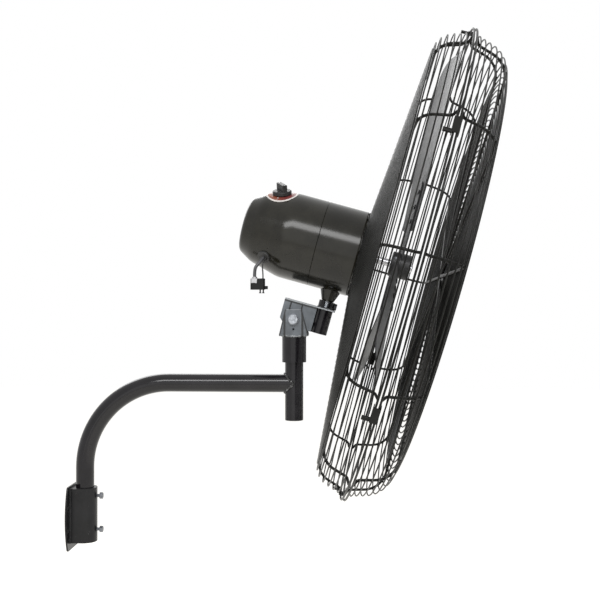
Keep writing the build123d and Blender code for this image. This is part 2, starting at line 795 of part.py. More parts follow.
def ring_places(side):
    """Radius, place along the axis and zone of every ring that lies outside the ribs."""
    path = rib_path(side)
    if side > 0:
        smallest = (centre_disc_diameter + ring_wire) / 2 + WIRE_GAP
    else:
        smallest = mount_ear_circle + mount_ear_radius + ring_wire
    first = (Vector(side_start[0], 0, side * side_start[1]) - path @ 0).length
    face_start = path.edges()[-1].length
    places = []
    for index in range(floor(path.length / ring_pitch)):
        distance = first + index * ring_pitch
        if distance > path.length:
            break
        share = distance / path.length
        point = path @ share
        along = path % share
        outward = Vector(side * along.Z, 0, -side * along.X)
        centre = point + outward * ring_stand_off
        if centre.X < smallest:
            break
        if path.length - distance > face_start:
            zone = "side"
        elif centre.X > face_split_radius:
            zone = "outer"
        else:
            zone = "inner"
        places.append((centre.X, centre.Z, zone))
    return places


def guard_rings(side, zone):
    rings = [Pos(0, 0, depth) * Torus(radius, ring_wire / 2)
             for radius, depth, where in ring_places(side) if where == zone]
    return in_head(group(rings))


def rim_ring(side):
    return in_head(Pos(0, 0, side * rim_offset) * Torus(rim_radius, rim_wire / 2))


def mount_ring():
    ring = Circle(mount_ring_outer)
    hole = Circle(mount_screw_diameter / 2 + THREAD_GAP)
    ear = Pos(mount_ear_circle, 0) * Circle(mount_ear_radius)
    for turned in around(ear, 4, mount_screw_azimuth):
        ring += turned
    ring -= Circle(mount_ring_inner)
    for turned in around(Pos(mount_ear_circle, 0) * hole, 4, mount_screw_azimuth):
        ring -= turned
    return in_head(Pos(0, 0, housing_front) * extrude(ring, mount_ring_thickness))


def mount_screws():
    screw = hex_screw(mount_screw_diameter, mount_screw_length, mount_screw_flats, mount_screw_head)
    placed = Pos(mount_ear_circle, 0, housing_front + mount_ring_thickness) * screw
    return in_head(group(around(placed, 4, mount_screw_azimuth)))


def centre_disc():
    seat = front_face + rib_radius + WIRE_GAP
    disc = rod(centre_disc_diameter / 2, seat, seat + centre_disc_thickness)
    front_edge = disc.edges().filter_by(GeomType.CIRCLE).sort_by(Axis.Z)[-1]
    return in_head(fillet(front_edge, centre_disc_thickness * 0.6))


def rim_clips():
    """Spring clips that hold the two rim wires together, each with a release tab to the rear."""
    wire_top = rim_radius + rim_wire / 2 + WIRE_GAP
    half_inside = rim_offset + rim_wire / 2 + WIRE_GAP
    half_outside = half_inside + clip_wall
    low = wire_top - clip_leg
    outside = Box(clip_leg + clip_wall, clip_length, 2 * half_outside, align=(Align.MIN, Align.CENTER, Align.CENTER))
    inside = Box(clip_leg, clip_length, 2 * half_inside, align=(Align.MIN, Align.CENTER, Align.CENTER))
    clip = Pos(low, 0, 0) * outside - Pos(low, 0, 0) * inside
    tab = Box(clip_tab_thickness, clip_tab_width, clip_tab_length, align=(Align.MAX, Align.MAX, Align.MAX))
    tab = fillet(tab.edges().filter_by(Axis.Z), clip_tab_thickness * 0.4)
    clip += Pos(wire_top, clip_length / 2, -half_outside) * tab
    return in_head(group(around(clip, clip_count, clip_azimuth)))


# ---------------------------------------------------------------- blades
blade_station = (hub_rear + hub_front) / 2
hub_screw_station = hub_rear + 7.0


def pitched(shape):
    """Turns a blade form about its radial line and sets it at the hub's middle."""
    return Pos(0, 0, blade_station) * Rot(blade_pitch, 0, 0) * shape


def curved_sheet(width, thickness, offset_below, start, end):
    """Strip of a cylinder whose lines run outwards from the hub, hollow side to the rear."""
    outer = blade_camber_radius - offset_below
    ring = Circle(outer) - Circle(outer - thickness)
    strip = Pos(0, outer) * Rectangle(width, outer)
    profile = Pos(0, -blade_camber_radius) * (ring & strip)
    outwards = Plane(origin=(start, 0, 0), x_dir=(0, 1, 0), z_dir=(1, 0, 0))
    return extrude(outwards * profile, end - start)


def blade_outline():
    half_tip = blade_chord / 2
    half_root = blade_root_chord / 2
    shoulder = blade_root_radius + (blade_tip_radius - blade_root_radius) * 0.45
    root_left = (blade_root_radius, -half_root)
    root_right = (blade_root_radius, half_root)
    lower = Line(root_left, (shoulder, -half_tip))
    upper = Line(root_right, (shoulder, half_tip))
    root = Line(root_left, root_right)
    reach = (blade_tip_radius ** 2 - half_tip ** 2) ** 0.5
    lower_side = Line((shoulder, -half_tip), (reach, -half_tip))
    upper_side = Line((shoulder, half_tip), (reach, half_tip))
    tip = ThreePointArc((reach, -half_tip), (blade_tip_radius, 0), (reach, half_tip))
    face = make_face([root, lower, lower_side, tip, upper_side, upper])
    corners = face.vertices().group_by(Axis.X)
    face = fillet(corners[-1], blade_tip_round)
    face = fillet(face.vertices().group_by(Axis.X)[0], blade_root_round)
    return face


def rivet_places():
    return [(radius, side * rivet_spread / 2) for radius in rivet_radii for side in (-1, 1)]


def rivet_frame(radius, across):
    """Frame on the blade's front skin at a rivet, before the blade is pitched."""
    tilt_angle = across / blade_camber_radius
    drop = blade_camber_radius * (cos(tilt_angle) - 1)
    place = Pos(radius, blade_camber_radius * sin(tilt_angle), drop)
    return place * Rot(-degrees(tilt_angle), 0, 0)


def rivet_holes():
    depth = blade_thickness + arm_strap_thickness + 2
    return [rivet_frame(*place) * rod(rivet_diameter / 2, -depth, 1) for place in rivet_places()]


def blade():
    prism = Pos(0, 0, -blade_chord) * extrude(blade_outline(), 2 * blade_chord)
    sheet = curved_sheet(2 * blade_chord, blade_thickness, 0, 0, blade_tip_radius + blade_chord)
    shape = sheet & prism
    for hole in rivet_holes():
        shape -= hole
    return pitched(shape)


def hub_strap():
    below = blade_thickness + WIRE_GAP
    strap = curved_sheet(arm_strap_width, arm_strap_thickness, below, shaft_diameter / 2 + 4, arm_strap_end)
    ends = strap.edges().filter_by(lambda edge: abs(edge.center().X - arm_strap_end) < 0.01
                                   and edge.length < 2 * arm_strap_thickness)
    strap = fillet(ends, arm_strap_width * 0.35)
    for hole in rivet_holes():
        strap -= hole
    return pitched(strap)


def blade_hub():
    hub = rod(hub_diameter / 2, hub_rear, hub_front)
    hub = fillet(hub.edges().filter_by(GeomType.CIRCLE), 2.5)
    for strap in around(hub_strap(), blade_count):
        hub += strap
    hub -= rod(shaft_diameter / 2, hub_rear - 1, hub_front + 1)
    hole = Rot(0, 0, 60) * Pos(0, 0, hub_screw_station) * Rot(0, 90, 0)
    hub -= hole * rod(hub_screw_diameter / 2 + THREAD_GAP, 0, hub_diameter)
    return in_head(hub)


def hub_screw():
    screw = rod(hub_screw_diameter / 2, shaft_diameter / 2 + THREAD_GAP, hub_diameter / 2 - 1)
    placed = Rot(0, 0, 60) * Pos(0, 0, hub_screw_station) * Rot(0, 90, 0) * screw
    return in_head(placed)


def blade_rivets():
    stack = blade_thickness + WIRE_GAP + arm_strap_thickness
    rivet = rod(rivet_diameter / 2, -stack - WIRE_GAP, WIRE_GAP)
    rivet += rod(rivet_head_diameter / 2, WIRE_GAP, WIRE_GAP + rivet_head)
    rivet += rod(rivet_head_diameter / 2, -stack - WIRE_GAP - rivet_head, -stack - WIRE_GAP)
    rivets = []
    for place in rivet_places():
        rivets += around(pitched(rivet_frame(*place) * rivet), blade_count)
    return in_head(group(rivets))


# ---------------------------------------------------------------- the whole fan
blades = around(blade(), blade_count)
nodes = {
    "wall_plate": wall_plate(),
    "wall_sleeve": wall_sleeve(),
    "clamp_screws": clamp_screws(),
    "arm_tube": arm_tube(),
    "post_tube": post_tube(),
    "weld_bead": weld_bead(),
    "swivel_sleeve": swivel_sleeve(),
    "sleeve_lock_screw": sleeve_lock_screw(),
    "tilt_fork": tilt_fork(),
    "tilt_bolt": tilt_bolt(),
    "tilt_washers": tilt_washers(),
    "tilt_nut": tilt_nut(),
    "tilt_yoke": tilt_yoke(),
    "socket_tube": socket_tube(),
    "socket_lock_screw": socket_lock_screw(),
    "neck_stud": neck_stud(),
    "neck_boss": neck_boss(),
    "front_shell": front_shell(),
    "rear_shell": rear_shell(),
    "end_shield": end_shield(),
    "motor_bolts": motor_bolts(),
    "stator_core": stator_core(),
    "windings": windings(),
    "front_bearing": bearing(housing_front - housing_wall - bearing_width),
    "rear_bearing": bearing(end_shield_rear - bearing_width),
    "motor_shaft": motor_shaft(),
    "rotor": rotor(),
    "run_capacitor": capacitor(),
    "dial_plate": dial_plate(),
    "speed_switch": speed_switch(),
    "switch_spindle": switch_spindle(),
    "speed_knob": speed_knob(),
    "cable_grommet": cable_grommet(),
    "power_lead": power_lead(),
    "thin_wire": thin_wire(),
    "lead_connector": lead_connector(),
    "connector_screws": connector_screws(),
    "guard_mount_ring": mount_ring(),
    "guard_mount_screws": mount_screws(),
    "rear_guard_ribs": guard_ribs(-1),
    "rear_guard_inner_rings": guard_rings(-1, "inner"),
    "rear_guard_outer_rings": guard_rings(-1, "outer"),
    "rear_guard_side_rings": guard_rings(-1, "side"),
    "rear_rim_ring": rim_ring(-1),
    "front_guard_ribs": guard_ribs(1),
    "front_guard_inner_rings": guard_rings(1, "inner"),
    "front_guard_outer_rings": guard_rings(1, "outer"),
    "front_guard_side_rings": guard_rings(1, "side"),
    "front_rim_ring": rim_ring(1),
    "centre_disc": centre_disc(),
    "rim_clips": rim_clips(),
    "blade_hub": blade_hub(),
    "hub_screw": hub_screw(),
    "blade_rivets": blade_rivets(),
}
for number, shape in enumerate(blades, start=1):
    nodes[f"blade_{number}"] = in_head(shape)

for name, shape in nodes.items():
    export_step(shape, f"parts/{name}.step")
    print(name, "solids", len(shape.solids()), "volume", round(shape.volume / 1000, 2), "cm3")
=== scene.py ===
# %% [markdown]
# # A wall mounted fan
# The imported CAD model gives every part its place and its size. This lesson dresses it: the
# wire guard, the screws, the weld beads and the leads are grown or drawn anew, and the parts
# whose shape is already right only get a finish. Everything is in metres, in the CAD frame.

# %% Load the frame
import json
from math import cos, pi, radians, sin

import bmesh
import bpy
from mathutils import Matrix, Vector
from mathutils.bvhtree import BVHTree

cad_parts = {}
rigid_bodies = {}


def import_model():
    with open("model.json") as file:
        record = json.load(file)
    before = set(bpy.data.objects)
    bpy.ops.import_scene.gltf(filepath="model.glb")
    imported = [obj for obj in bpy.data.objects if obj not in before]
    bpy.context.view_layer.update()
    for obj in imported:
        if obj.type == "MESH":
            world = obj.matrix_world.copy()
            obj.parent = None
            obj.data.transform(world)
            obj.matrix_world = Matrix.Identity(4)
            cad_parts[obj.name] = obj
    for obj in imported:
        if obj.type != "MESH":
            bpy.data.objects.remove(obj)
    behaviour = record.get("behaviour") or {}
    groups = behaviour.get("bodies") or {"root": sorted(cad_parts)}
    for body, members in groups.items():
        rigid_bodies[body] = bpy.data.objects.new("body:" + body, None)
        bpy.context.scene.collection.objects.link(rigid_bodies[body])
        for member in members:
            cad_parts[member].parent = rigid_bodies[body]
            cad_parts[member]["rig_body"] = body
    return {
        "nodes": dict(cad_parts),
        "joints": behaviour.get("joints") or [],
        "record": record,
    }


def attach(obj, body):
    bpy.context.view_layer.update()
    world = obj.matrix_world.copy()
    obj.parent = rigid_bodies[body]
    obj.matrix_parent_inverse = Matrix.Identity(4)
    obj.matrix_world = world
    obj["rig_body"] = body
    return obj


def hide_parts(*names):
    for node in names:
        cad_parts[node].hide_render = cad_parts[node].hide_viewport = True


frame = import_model()
nodes = frame["nodes"]
joints = {joint["name"]: joint for joint in frame["joints"]}
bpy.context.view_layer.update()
scene = bpy.context.scene
scene.view_settings.view_transform = "Standard"
MM = 0.001

# %% [markdown]
# The fan's head is tilted, so its round parts are easiest to draw in a frame of their own:
# x up, y towards the side with the lead, z forward along the fan's axis. Its directions come
# from the joints: the blades spin about z, and the head swivels about x. Two places that
# several pieces share are named here as well.

# %% The head's own frame
forward = Vector(joints["fan_spin"]["axis"])
upward = Vector(joints["head_swivel"]["axis"])
nearside = forward.cross(upward)
HEAD = Matrix((upward, nearside, forward)).transposed().to_4x4()
HEAD.translation = Vector(joints["fan_spin"]["pos_m"])
POST_X = 394.8  # the post's middle, in millimetres from the wall
STUD_AHEAD = -114.8  # the neck stud's middle, in millimetres forward of the head's centre
print("the axis leans down", round(-forward.z, 4), "m in each metre")

# %% [markdown]
# ## Camera
# The photograph looks at the side with the lead, level with the arm, from 1.7 m away. A lens
# of 58 mm on a 36 mm sensor gives its perspective.

# %% Camera
camera_data = bpy.data.cameras.new("camera")
camera_data.sensor_width = 36.0
camera_data.lens = 57.96
camera = bpy.data.objects.new("camera", camera_data)
camera.location = (0.4989, -1.6846, 0.3823)
camera.rotation_euler = (radians(90), 0, radians(3.19))
scene.collection.objects.link(camera)
scene.camera = camera
print("lens", camera_data.lens, "mm")

# %% [markdown]
# ## Writing nodes as expressions
# A node tree grows long when each node takes three lines. Two small classes keep it readable:
# Wire wraps a node's output, so that sums and products of wires add Math nodes, and Board adds
# any other node from its type, its settings and what goes into its sockets.


# %% Wire and Board
class Wire:
    """A node's output that can stand in a Python expression."""

    def __init__(self, board, socket):
        self.board = board
        self.socket = socket

    def __add__(self, other):
        return self.board.maths("ADD", self, other)

    def __radd__(self, other):
        return self.board.maths("ADD", other, self)

    def __sub__(self, other):
        return self.board.maths("SUBTRACT", self, other)

    def __rsub__(self, other):
        return self.board.maths("SUBTRACT", other, self)

    def __mul__(self, other):
        return self.board.maths("MULTIPLY", self, other)

    def __truediv__(self, other):
        return self.board.maths("DIVIDE", self, other)

    def __pow__(self, other):
        return self.board.maths("POWER", self, other)

    def __gt__(self, other):
        return self.board.maths("GREATER_THAN", self, other)

    def __lt__(self, other):
        return self.board.maths("LESS_THAN", self, other)


class Board:
    """A node tree: add makes any node, the other methods those used most."""

    def __init__(self, tree):
        self.tree = tree

    def add(self, kind, settings=None, sockets=None, out=0):
        """Adds a node: its settings first, then the values or wires of its sockets."""
        node = self.tree.nodes.new(kind)
        for name, value in (settings or {}).items():
            setattr(node, name, value)
        for key, value in (sockets or {}).items():
            self.feed(self.find(node.inputs, key), value)
        if not node.outputs:
            return None
        return Wire(self, self.find(node.outputs, out))

    def find(self, sockets, key):
        shown = [socket for socket in sockets if socket.enabled]
        if isinstance(key, int):
            return shown[key]
        return next(socket for socket in shown if socket.name == key)

    def feed(self, socket, value):
        if isinstance(value, Wire):
            self.tree.links.new(value.socket, socket)
        elif isinstance(value, list):
            for wire in value:
                self.tree.links.new(wire.socket, socket)
        else:
            socket.default_value = value

    def maths(self, operation, first, second=None):
        sockets = {0: first} if second is None else {0: first, 1: second}
        return self.add("ShaderNodeMath", {"operation": operation}, sockets)

    def vectors(self, operation, first, second=None, out=0):
        sockets = {0: first} if second is None else {0: first, 1: second}
        return self.add("ShaderNodeVectorMath", {"operation": operation}, sockets, out)

    def part(self, vector, axis):
        """One coordinate of a vector, by its letter."""
        return self.add("ShaderNodeSeparateXYZ", {}, {"Vector": vector}, out=axis)

    def joined(self, x=0.0, y=0.0, z=0.0):
        """A vector from its coordinates."""
        return self.add("ShaderNodeCombineXYZ", {}, {"X": x, "Y": y, "Z": z})

    def along(self, vector, axis):
        """How far a vector reaches along a fixed direction."""
        return self.vectors("DOT_PRODUCT", vector, tuple(axis), out="Value")

    def larger(self, one, other):
        return self.maths("MAXIMUM", one, other)

    def noise(self, place, scale, detail=2.0, roughness=0.5):
        """A cloudy pattern; scale is about how many of its spots stand in a metre."""
        sockets = {"Vector": place, "Scale": scale, "Detail": detail, "Roughness": roughness}
        return self.add("ShaderNodeTexNoise", {}, sockets)

    def rise(self, value, start, end):
        """0 below start, 1 above end and smooth in between."""
        settings = {"interpolation_type": "SMOOTHSTEP", "clamp": True}
        limits = {"Value": value, "From Min": start, "From Max": end}
        return self.add("ShaderNodeMapRange", settings, limits)

    def blend(self, share, one, other):
        settings = {"data_type": "RGBA", "blend_type": "MIX"}
        return self.add("ShaderNodeMix", settings, {"Factor": share, "A": one, "B": other})

    def bump(self, height, distance):
        sockets = {"Height": height, "Distance": distance, "Strength": 1.0}
        return self.add("ShaderNodeBump", {}, sockets)


print("nodes are now expressions")

# %% [markdown]
# ## Finishes
# Each finish starts the same way: an empty tree and the Object coordinate, which here is the
# CAD frame in metres, so that a pattern keeps its real scale on every part. It ends in one
# Principled shader. What never changes over a surface is set on the shader's own sockets.


# %% Start and end of a finish
finishes = {}


def open_finish(name):
    material = bpy.data.materials.new(name)
    material.use_nodes = True
    material.node_tree.nodes.clear()
    finishes[name] = material
    board = Board(material.node_tree)
    return board, board.add("ShaderNodeTexCoord", out="Object")


def close_finish(board, sockets):
    shader = board.add("ShaderNodeBsdfPrincipled", {}, sockets)
    board.add("ShaderNodeOutputMaterial", {}, {"Surface": shader})


def colour(red, green, blue):
    return (red, green, blue, 1.0)


print("a finish has a start and an end")

# %% [markdown]
# ## Black and grey paint
# The bracket, arm, fork, housing and guard are sprayed steel. Sprayed paint isn't a mirror: it
# has a fine orange peel, its gloss is cloudy where hands and dust have been, and a few specks
# of dust show lighter. Noises at different scales give these, and the same function makes
# every paint of the fan with its own colour and gloss. On the fork and the yoke it also paints
# shade into grooves and gaps and highlights onto some edges.


# %% Places on the head
def head_coordinates(board, place):
    """Distances from the head's centre: up, to the near side and forward."""
    offset = board.vectors("SUBTRACT", place, tuple(HEAD.translation))
    return [board.along(offset, axis) for axis in (upward, nearside, forward)]


def band(board, value, middle, half):
    """1 inside a narrow band of a value and 0 outside it, in millimetres."""
    distance = board.maths("ABSOLUTE", value - middle * MM)
    return 1.0 - board.rise(distance, half * 0.7 * MM, half * 1.3 * MM)


# Places of the marks, in millimetres.
GROOVES = (-173.9, -153.9)  # the yoke's pressed grooves, forward of the head's centre
PLATE_FOLD = -106.8  # the fold of its top plate, up from the head's centre
PLATE_UNDERSIDE = -109.0
EAR_TOP = 365.0  # heights of the fork's ears in the CAD frame
EAR_BOTTOM = 320.0
EAR_RIB = 15.5  # from the post's middle to the edge of an ear's raised rib
EAR_SLOPE = 0.243  # how far an ear's slanted edge moves out for each millimetre down


def yoke_marks(board, place):
    """Painted shade in the grooves and under the top plate, and a painted highlight on the fold."""
    up, _, ahead = head_coordinates(board, place)
    below_plate = 1.0 - board.rise(up, (PLATE_UNDERSIDE - 0.2) * MM, (PLATE_UNDERSIDE + 0.2) * MM)
    grooves = board.larger(*[band(board, ahead, groove, 1.3) for groove in GROOVES])
    # Painted shade: dark in the pressed grooves and in a line under the top plate.
    painted_shade = board.larger(grooves * below_plate, band(board, up, PLATE_UNDERSIDE - 0.8, 1.4)) * 0.95
    # Painted highlight: a light line along the top plate's fold.
    return painted_shade, band(board, up, PLATE_FOLD, 1.1) * 0.85


def fork_marks(board, place):
    """Painted shade by the ribs and slanted edges, a painted highlight on top, worn paint at the
    bottom.
    """
    x = board.part(place, "X")
    z = board.part(place, "Z")
    aside = board.maths("ABSOLUTE", x - POST_X * MM)
    slanted_edge = 14.5 * MM + ((EAR_TOP + 1.2) * MM - z) * EAR_SLOPE
    # Painted shade: dark lines along the slanted edges and beside the raised ribs.
    slanted_shade = band(board, aside - slanted_edge, -0.8, 1.3)
    painted_shade = board.larger(band(board, aside, EAR_RIB, 1.8), slanted_shade)
    # Painted highlight on the ears' top edge, and lighter chipped paint along their bottom edge.
    top = board.rise(z, EAR_TOP * MM, (EAR_TOP + 0.5) * MM)
    chips = board.noise(place, 260.0, 3.0, 0.7)
    bottom = board.rise(chips - (z - EAR_BOTTOM * MM) * 90.0, 0.42, 0.46)
    return painted_shade * 0.95, board.larger(top * 0.5, bottom * 0.7)


print("a pattern can follow the tilted head")


# %% Sprayed paint
DUST = colour(0.16, 0.155, 0.145)
# The tone of painted shade in grooves and gaps.
PAINTED_SHADE_TONE = colour(0.012, 0.012, 0.012)
# Light grey for painted highlights on edges and for worn paint.
HIGHLIGHT_AND_WORN_PAINT = colour(0.50, 0.52, 0.54)
BARE_STEEL = colour(0.42, 0.42, 0.43)


def sprayed(name, tone, gloss, peel=0.006, cloud=0.10, nicks=0.0, nicked_above=0.655,
            specular=0.5, marks=None):
    """Paint with a base tone; gloss is its roughness, and the rest says how uneven it is."""
    board, place = open_finish(name)
    patches = board.noise(place, 22.0, 4.0, 0.6)
    fine = board.noise(place, 1100.0, 2.0)
    specks = board.rise(board.noise(place, 520.0, 3.0, 0.7), 0.64, 0.78) * 0.5
    wear = board.noise(place, 190.0, 5.0, 0.75)
    nicked = board.rise(wear, nicked_above, nicked_above + 0.035) * nicks
    darker = colour(*[part * 0.72 for part in tone])
    lighter = colour(*[part * 1.3 + 0.004 for part in tone])
    coated = board.blend(board.rise(patches, 0.3, 0.7), darker, lighter)
    dusty = board.blend(specks * 0.35, coated, DUST)
    surface = board.blend(nicked, dusty, BARE_STEEL)
    # Some parts get painted shade in grooves and gaps, painted highlights on edges, and worn paint.
    if marks:
        painted_shade, lightened = marks(board, place)
        surface = board.blend(lightened, surface, HIGHLIGHT_AND_WORN_PAINT)
        surface = board.blend(painted_shade, surface, PAINTED_SHADE_TONE)
    roughness = gloss + (patches - 0.5) * cloud + specks * 0.12
    height = fine + board.noise(place, 260.0, 1.0) * 1.4
    close_finish(board, {
        "Base Color": surface,
        "Roughness": roughness,
        "Normal": board.bump(height, peel * MM),
        "Specular IOR Level": specular,
    })


sprayed("bracket_paint", (0.008, 0.008, 0.009), 0.30, nicks=0.55, specular=0.25)
sprayed("arm_paint", (0.006, 0.005, 0.007), 0.12, peel=0.001, cloud=0.04, specular=0.36)
sprayed("upright_paint", (0.006, 0.005, 0.007), 0.22, peel=0.003, cloud=0.06, specular=0.34)
sprayed("weld_paint", (0.012, 0.012, 0.012), 0.25, nicks=0.9, nicked_above=0.56)
sprayed("fork_paint", (0.135, 0.150, 0.168), 0.34, cloud=0.14, marks=fork_marks)
sprayed("yoke_paint", (0.125, 0.140, 0.158), 0.34, cloud=0.14, marks=yoke_marks)
sprayed("housing_paint", (0.011, 0.010, 0.006), 0.18, peel=0.003, cloud=0.08, specular=0.34)
sprayed("guard_paint", (0.008, 0.008, 0.007), 0.36, peel=0.002, cloud=0.06, specular=0.14)
print(len(finishes), "paints")

# %% [markdown]
# ## Bare and plated metal
# Screws and the neck stud are zinc plated: bright, slightly blue, with a soft cloudy gloss.
# Bearings and the shaft are ground steel. The hub is cast, so it has a coarser bump. The
# blades are sheet metal under a thin dark coat, which dulls most of a metal's reflections.


# %% Metals
def metal(name, tone, gloss, cloud=0.12, patch=60.0, depth=0.8, grain=600.0, relief=0.01,
          metallic=1.0, specular=0.5):
    """Metal with patches of a darker tone; grain and relief are its texture's scale and height."""
    board, place = open_finish(name)
    patches = board.noise(place, patch, 3.0, 0.6)
    texture = board.noise(place, grain, 3.0)
    darker = colour(*[part * depth for part in tone])
    lighter = colour(*[min(1.0, part * 1.12) for part in tone])
    close_finish(board, {
        "Base Color": board.blend(board.rise(patches, 0.3, 0.7), darker, lighter),
        "Metallic": metallic,
        "Roughness": gloss + (patches - 0.5) * cloud + (texture - 0.5) * 0.08,
        "Specular IOR Level": specular,
        "Normal": board.bump(texture, relief * MM),
    })


metal("zinc", (0.40, 0.42, 0.45), 0.33, patch=240.0, depth=0.55)
metal("dull_zinc", (0.20, 0.21, 0.23), 0.40, patch=240.0, depth=0.6)
metal("bearing_steel", (0.55, 0.55, 0.57), 0.22, grain=1500.0, relief=0.003)
metal("cast_aluminium", (0.30, 0.30, 0.31), 0.48, grain=420.0, relief=0.05)
metal("dark_casting", (0.045, 0.045, 0.046), 0.42, grain=420.0, relief=0.05, metallic=0.4)
metal("blade_aluminium", (0.017, 0.017, 0.018), 0.36, cloud=0.06, relief=0.002, metallic=0.15,
      specular=0.16)
print(len(finishes), "finishes so far")

# %% [markdown]
# ## Motor core, coils, plastics and rubber
# The core is a stack of half millimetre sheets, so its sides are striped along the axis, and
# the coils are wound round it. Both are hidden inside the housing, and show when it is taken
# apart. Moulded plastic and rubber are matt, with a fine grain from the mould.


# %% Core and coils
SHEET = 0.5  # how thick a sheet of the core is, in millimetres
WIRE_PITCH = 1.1  # from one turn of the coils to the next
board, place = open_finish("lamination")
ahead = head_coordinates(board, place)[2]
sheet = board.maths("FRACT", ahead / (SHEET * MM))
gap = 1.0 - board.rise(sheet, 0.05, 0.25)
close_finish(board, {
    "Base Color": board.blend(gap, colour(0.26, 0.26, 0.27), colour(0.07, 0.06, 0.055)),
    "Metallic": 0.9,
    "Roughness": 0.42 + gap * 0.3,
    "Normal": board.bump(sheet, 0.05 * MM),
})

board, place = open_finish("copper")
up, near, ahead = head_coordinates(board, place)
turns = board.maths("SINE", (up * up + near * near) ** 0.5 * (2 * pi / (WIRE_PITCH * MM)))
rows = board.maths("SINE", ahead * (2 * pi / (WIRE_PITCH * MM)))
# Painted shade and highlight: darker in the valleys between turns, lighter on their crests.
lit_crests = board.rise(turns * rows, -0.9, 0.4)
close_finish(board, {
    "Base Color": board.blend(lit_crests, colour(0.20, 0.06, 0.02), colour(0.62, 0.27, 0.11)),
    "Metallic": 0.85,
    "Roughness": 0.34 + board.noise(place, 90.0) * 0.1,
    "Normal": board.bump(turns + rows, 0.2 * MM),
})
print("core and coils")


# %% Plastics and rubber
MOULD_GRAIN = 900.0
MOULD_RELIEF = 0.02


def moulded(name, tone, gloss):
    """Moulded plastic or rubber with a fine mould grain."""
    board, place = open_finish(name)
    texture = board.noise(place, MOULD_GRAIN, 2.0)
    # Lighter, smoother patches where the plastic is worn.
    lightened = board.rise(board.noise(place, 70.0, 4.0), 0.45, 0.7)
    lighter = colour(*[min(1.0, part * 1.35 + 0.006) for part in tone])
    close_finish(board, {
        "Base Color": board.blend(lightened, colour(*tone), lighter),
        "Roughness": gloss + (texture - 0.5) * 0.12 - lightened * 0.06,
        "Normal": board.bump(texture, MOULD_RELIEF * MM),
    })


moulded("black_plastic", (0.028, 0.028, 0.029), 0.36)
moulded("black_rubber", (0.022, 0.022, 0.022), 0.50)
moulded("lead_grey", (0.075, 0.075, 0.08), 0.33)
moulded("capacitor_plastic", (0.78, 0.78, 0.75), 0.42)
print(len(finishes), "finishes so far")

# %% [markdown]
# ## The dial's print
# A thin round plate under the speed knob is printed: a red field that turns orange towards the
# rear, a white ring at its edge, and a white tick where the knob's line stands at each speed.
# The print is drawn with distances from the knob's axis, which is a joint of the CAD model.

# %% Dial
KNOB_REST = 121  # where the knob's line points at rest, in degrees round the dial
SPEED_STEP = 45
EDGE_RING = (24.7, 25.0)  # the white ring's soft inner edge, in millimetres from the axis
TICK = (16.9, 18.6)  # where a tick starts and ends
TICK_COSINE = 0.9985  # of the angle from a tick's middle to its edge
FIELD_TURN = (-20, 12)  # from all orange to all red, along the dial
dial_centre = Vector(joints["speed_selector"]["pos_m"])
dial_out = Vector(joints["speed_selector"]["axis"])
dial_front = (forward - dial_out * forward.dot(dial_out)).normalized()
dial_side = dial_out.cross(dial_front)
speed_marks = {speed: KNOB_REST + SPEED_STEP * speed for speed in range(4)}


def dial_direction(angle):
    """Direction on the dial, from the front round to the side that the axis turns to."""
    return dial_front * cos(radians(angle)) + dial_side * sin(radians(angle))


board, place = open_finish("dial_red")
offset = board.vectors("SUBTRACT", place, tuple(dial_centre))
across = board.along(offset, dial_front)
aside = board.along(offset, dial_side)
reach = (across * across + aside * aside) ** 0.5
white_print = board.rise(reach, EDGE_RING[0] * MM, EDGE_RING[1] * MM)
for angle in speed_marks.values():
    aim = dial_direction(angle)
    lined = board.along(offset, aim) / reach > TICK_COSINE
    within = (reach > TICK[0] * MM) * (reach < TICK[1] * MM)
    white_print = board.larger(white_print, lined * within)
turned = board.rise(across, FIELD_TURN[0] * MM, FIELD_TURN[1] * MM)
field = board.blend(turned, colour(0.27, 0.085, 0.045), colour(0.18, 0.035, 0.033))
close_finish(board, {
    "Base Color": board.blend(white_print, field, colour(0.80, 0.76, 0.73)),
    "Roughness": 0.34 + board.noise(place, 200.0) * 0.12,
    "Normal": board.bump(board.noise(place, 700.0), 0.006 * MM),
})

board, place = open_finish("dial_print")
speckle = board.noise(place, 900.0)
close_finish(board, {
    "Base Color": board.blend(speckle, colour(0.74, 0.71, 0.68), colour(0.84, 0.81, 0.78)),
    "Roughness": 0.4,
})
print("dial and its print")

# %% [markdown]
# ## Connector and knob
# The connector block is black, with a bright clamp round the power lead at its upper corner.
# The knob is black too, and a white line on its top shows the speed.

# %% Connector
CLAMP_AHEAD = 336.0  # the bright clamp ends here, in millimetres from the wall
CLAMP_BOTTOM = 411.0
board, place = open_finish("connector_plastic")
x = board.part(place, "X")
z = board.part(place, "Z")
ragged = (board.noise(place, 420.0, 3.0) - 0.5) * 3.0 * MM
clamp = (x + ragged < CLAMP_AHEAD * MM) * (z + ragged > CLAMP_BOTTOM * MM)
close_finish(board, {
    "Base Color": board.blend(clamp, colour(0.008, 0.008, 0.008), colour(0.42, 0.42, 0.43)),
    "Specular IOR Level": 0.2,
    "Metallic": clamp * 0.9,
    "Roughness": 0.34 + board.noise(place, 300.0) * 0.1,
    "Normal": board.bump(board.noise(place, 500.0), 0.05 * MM),
})
print("connector")

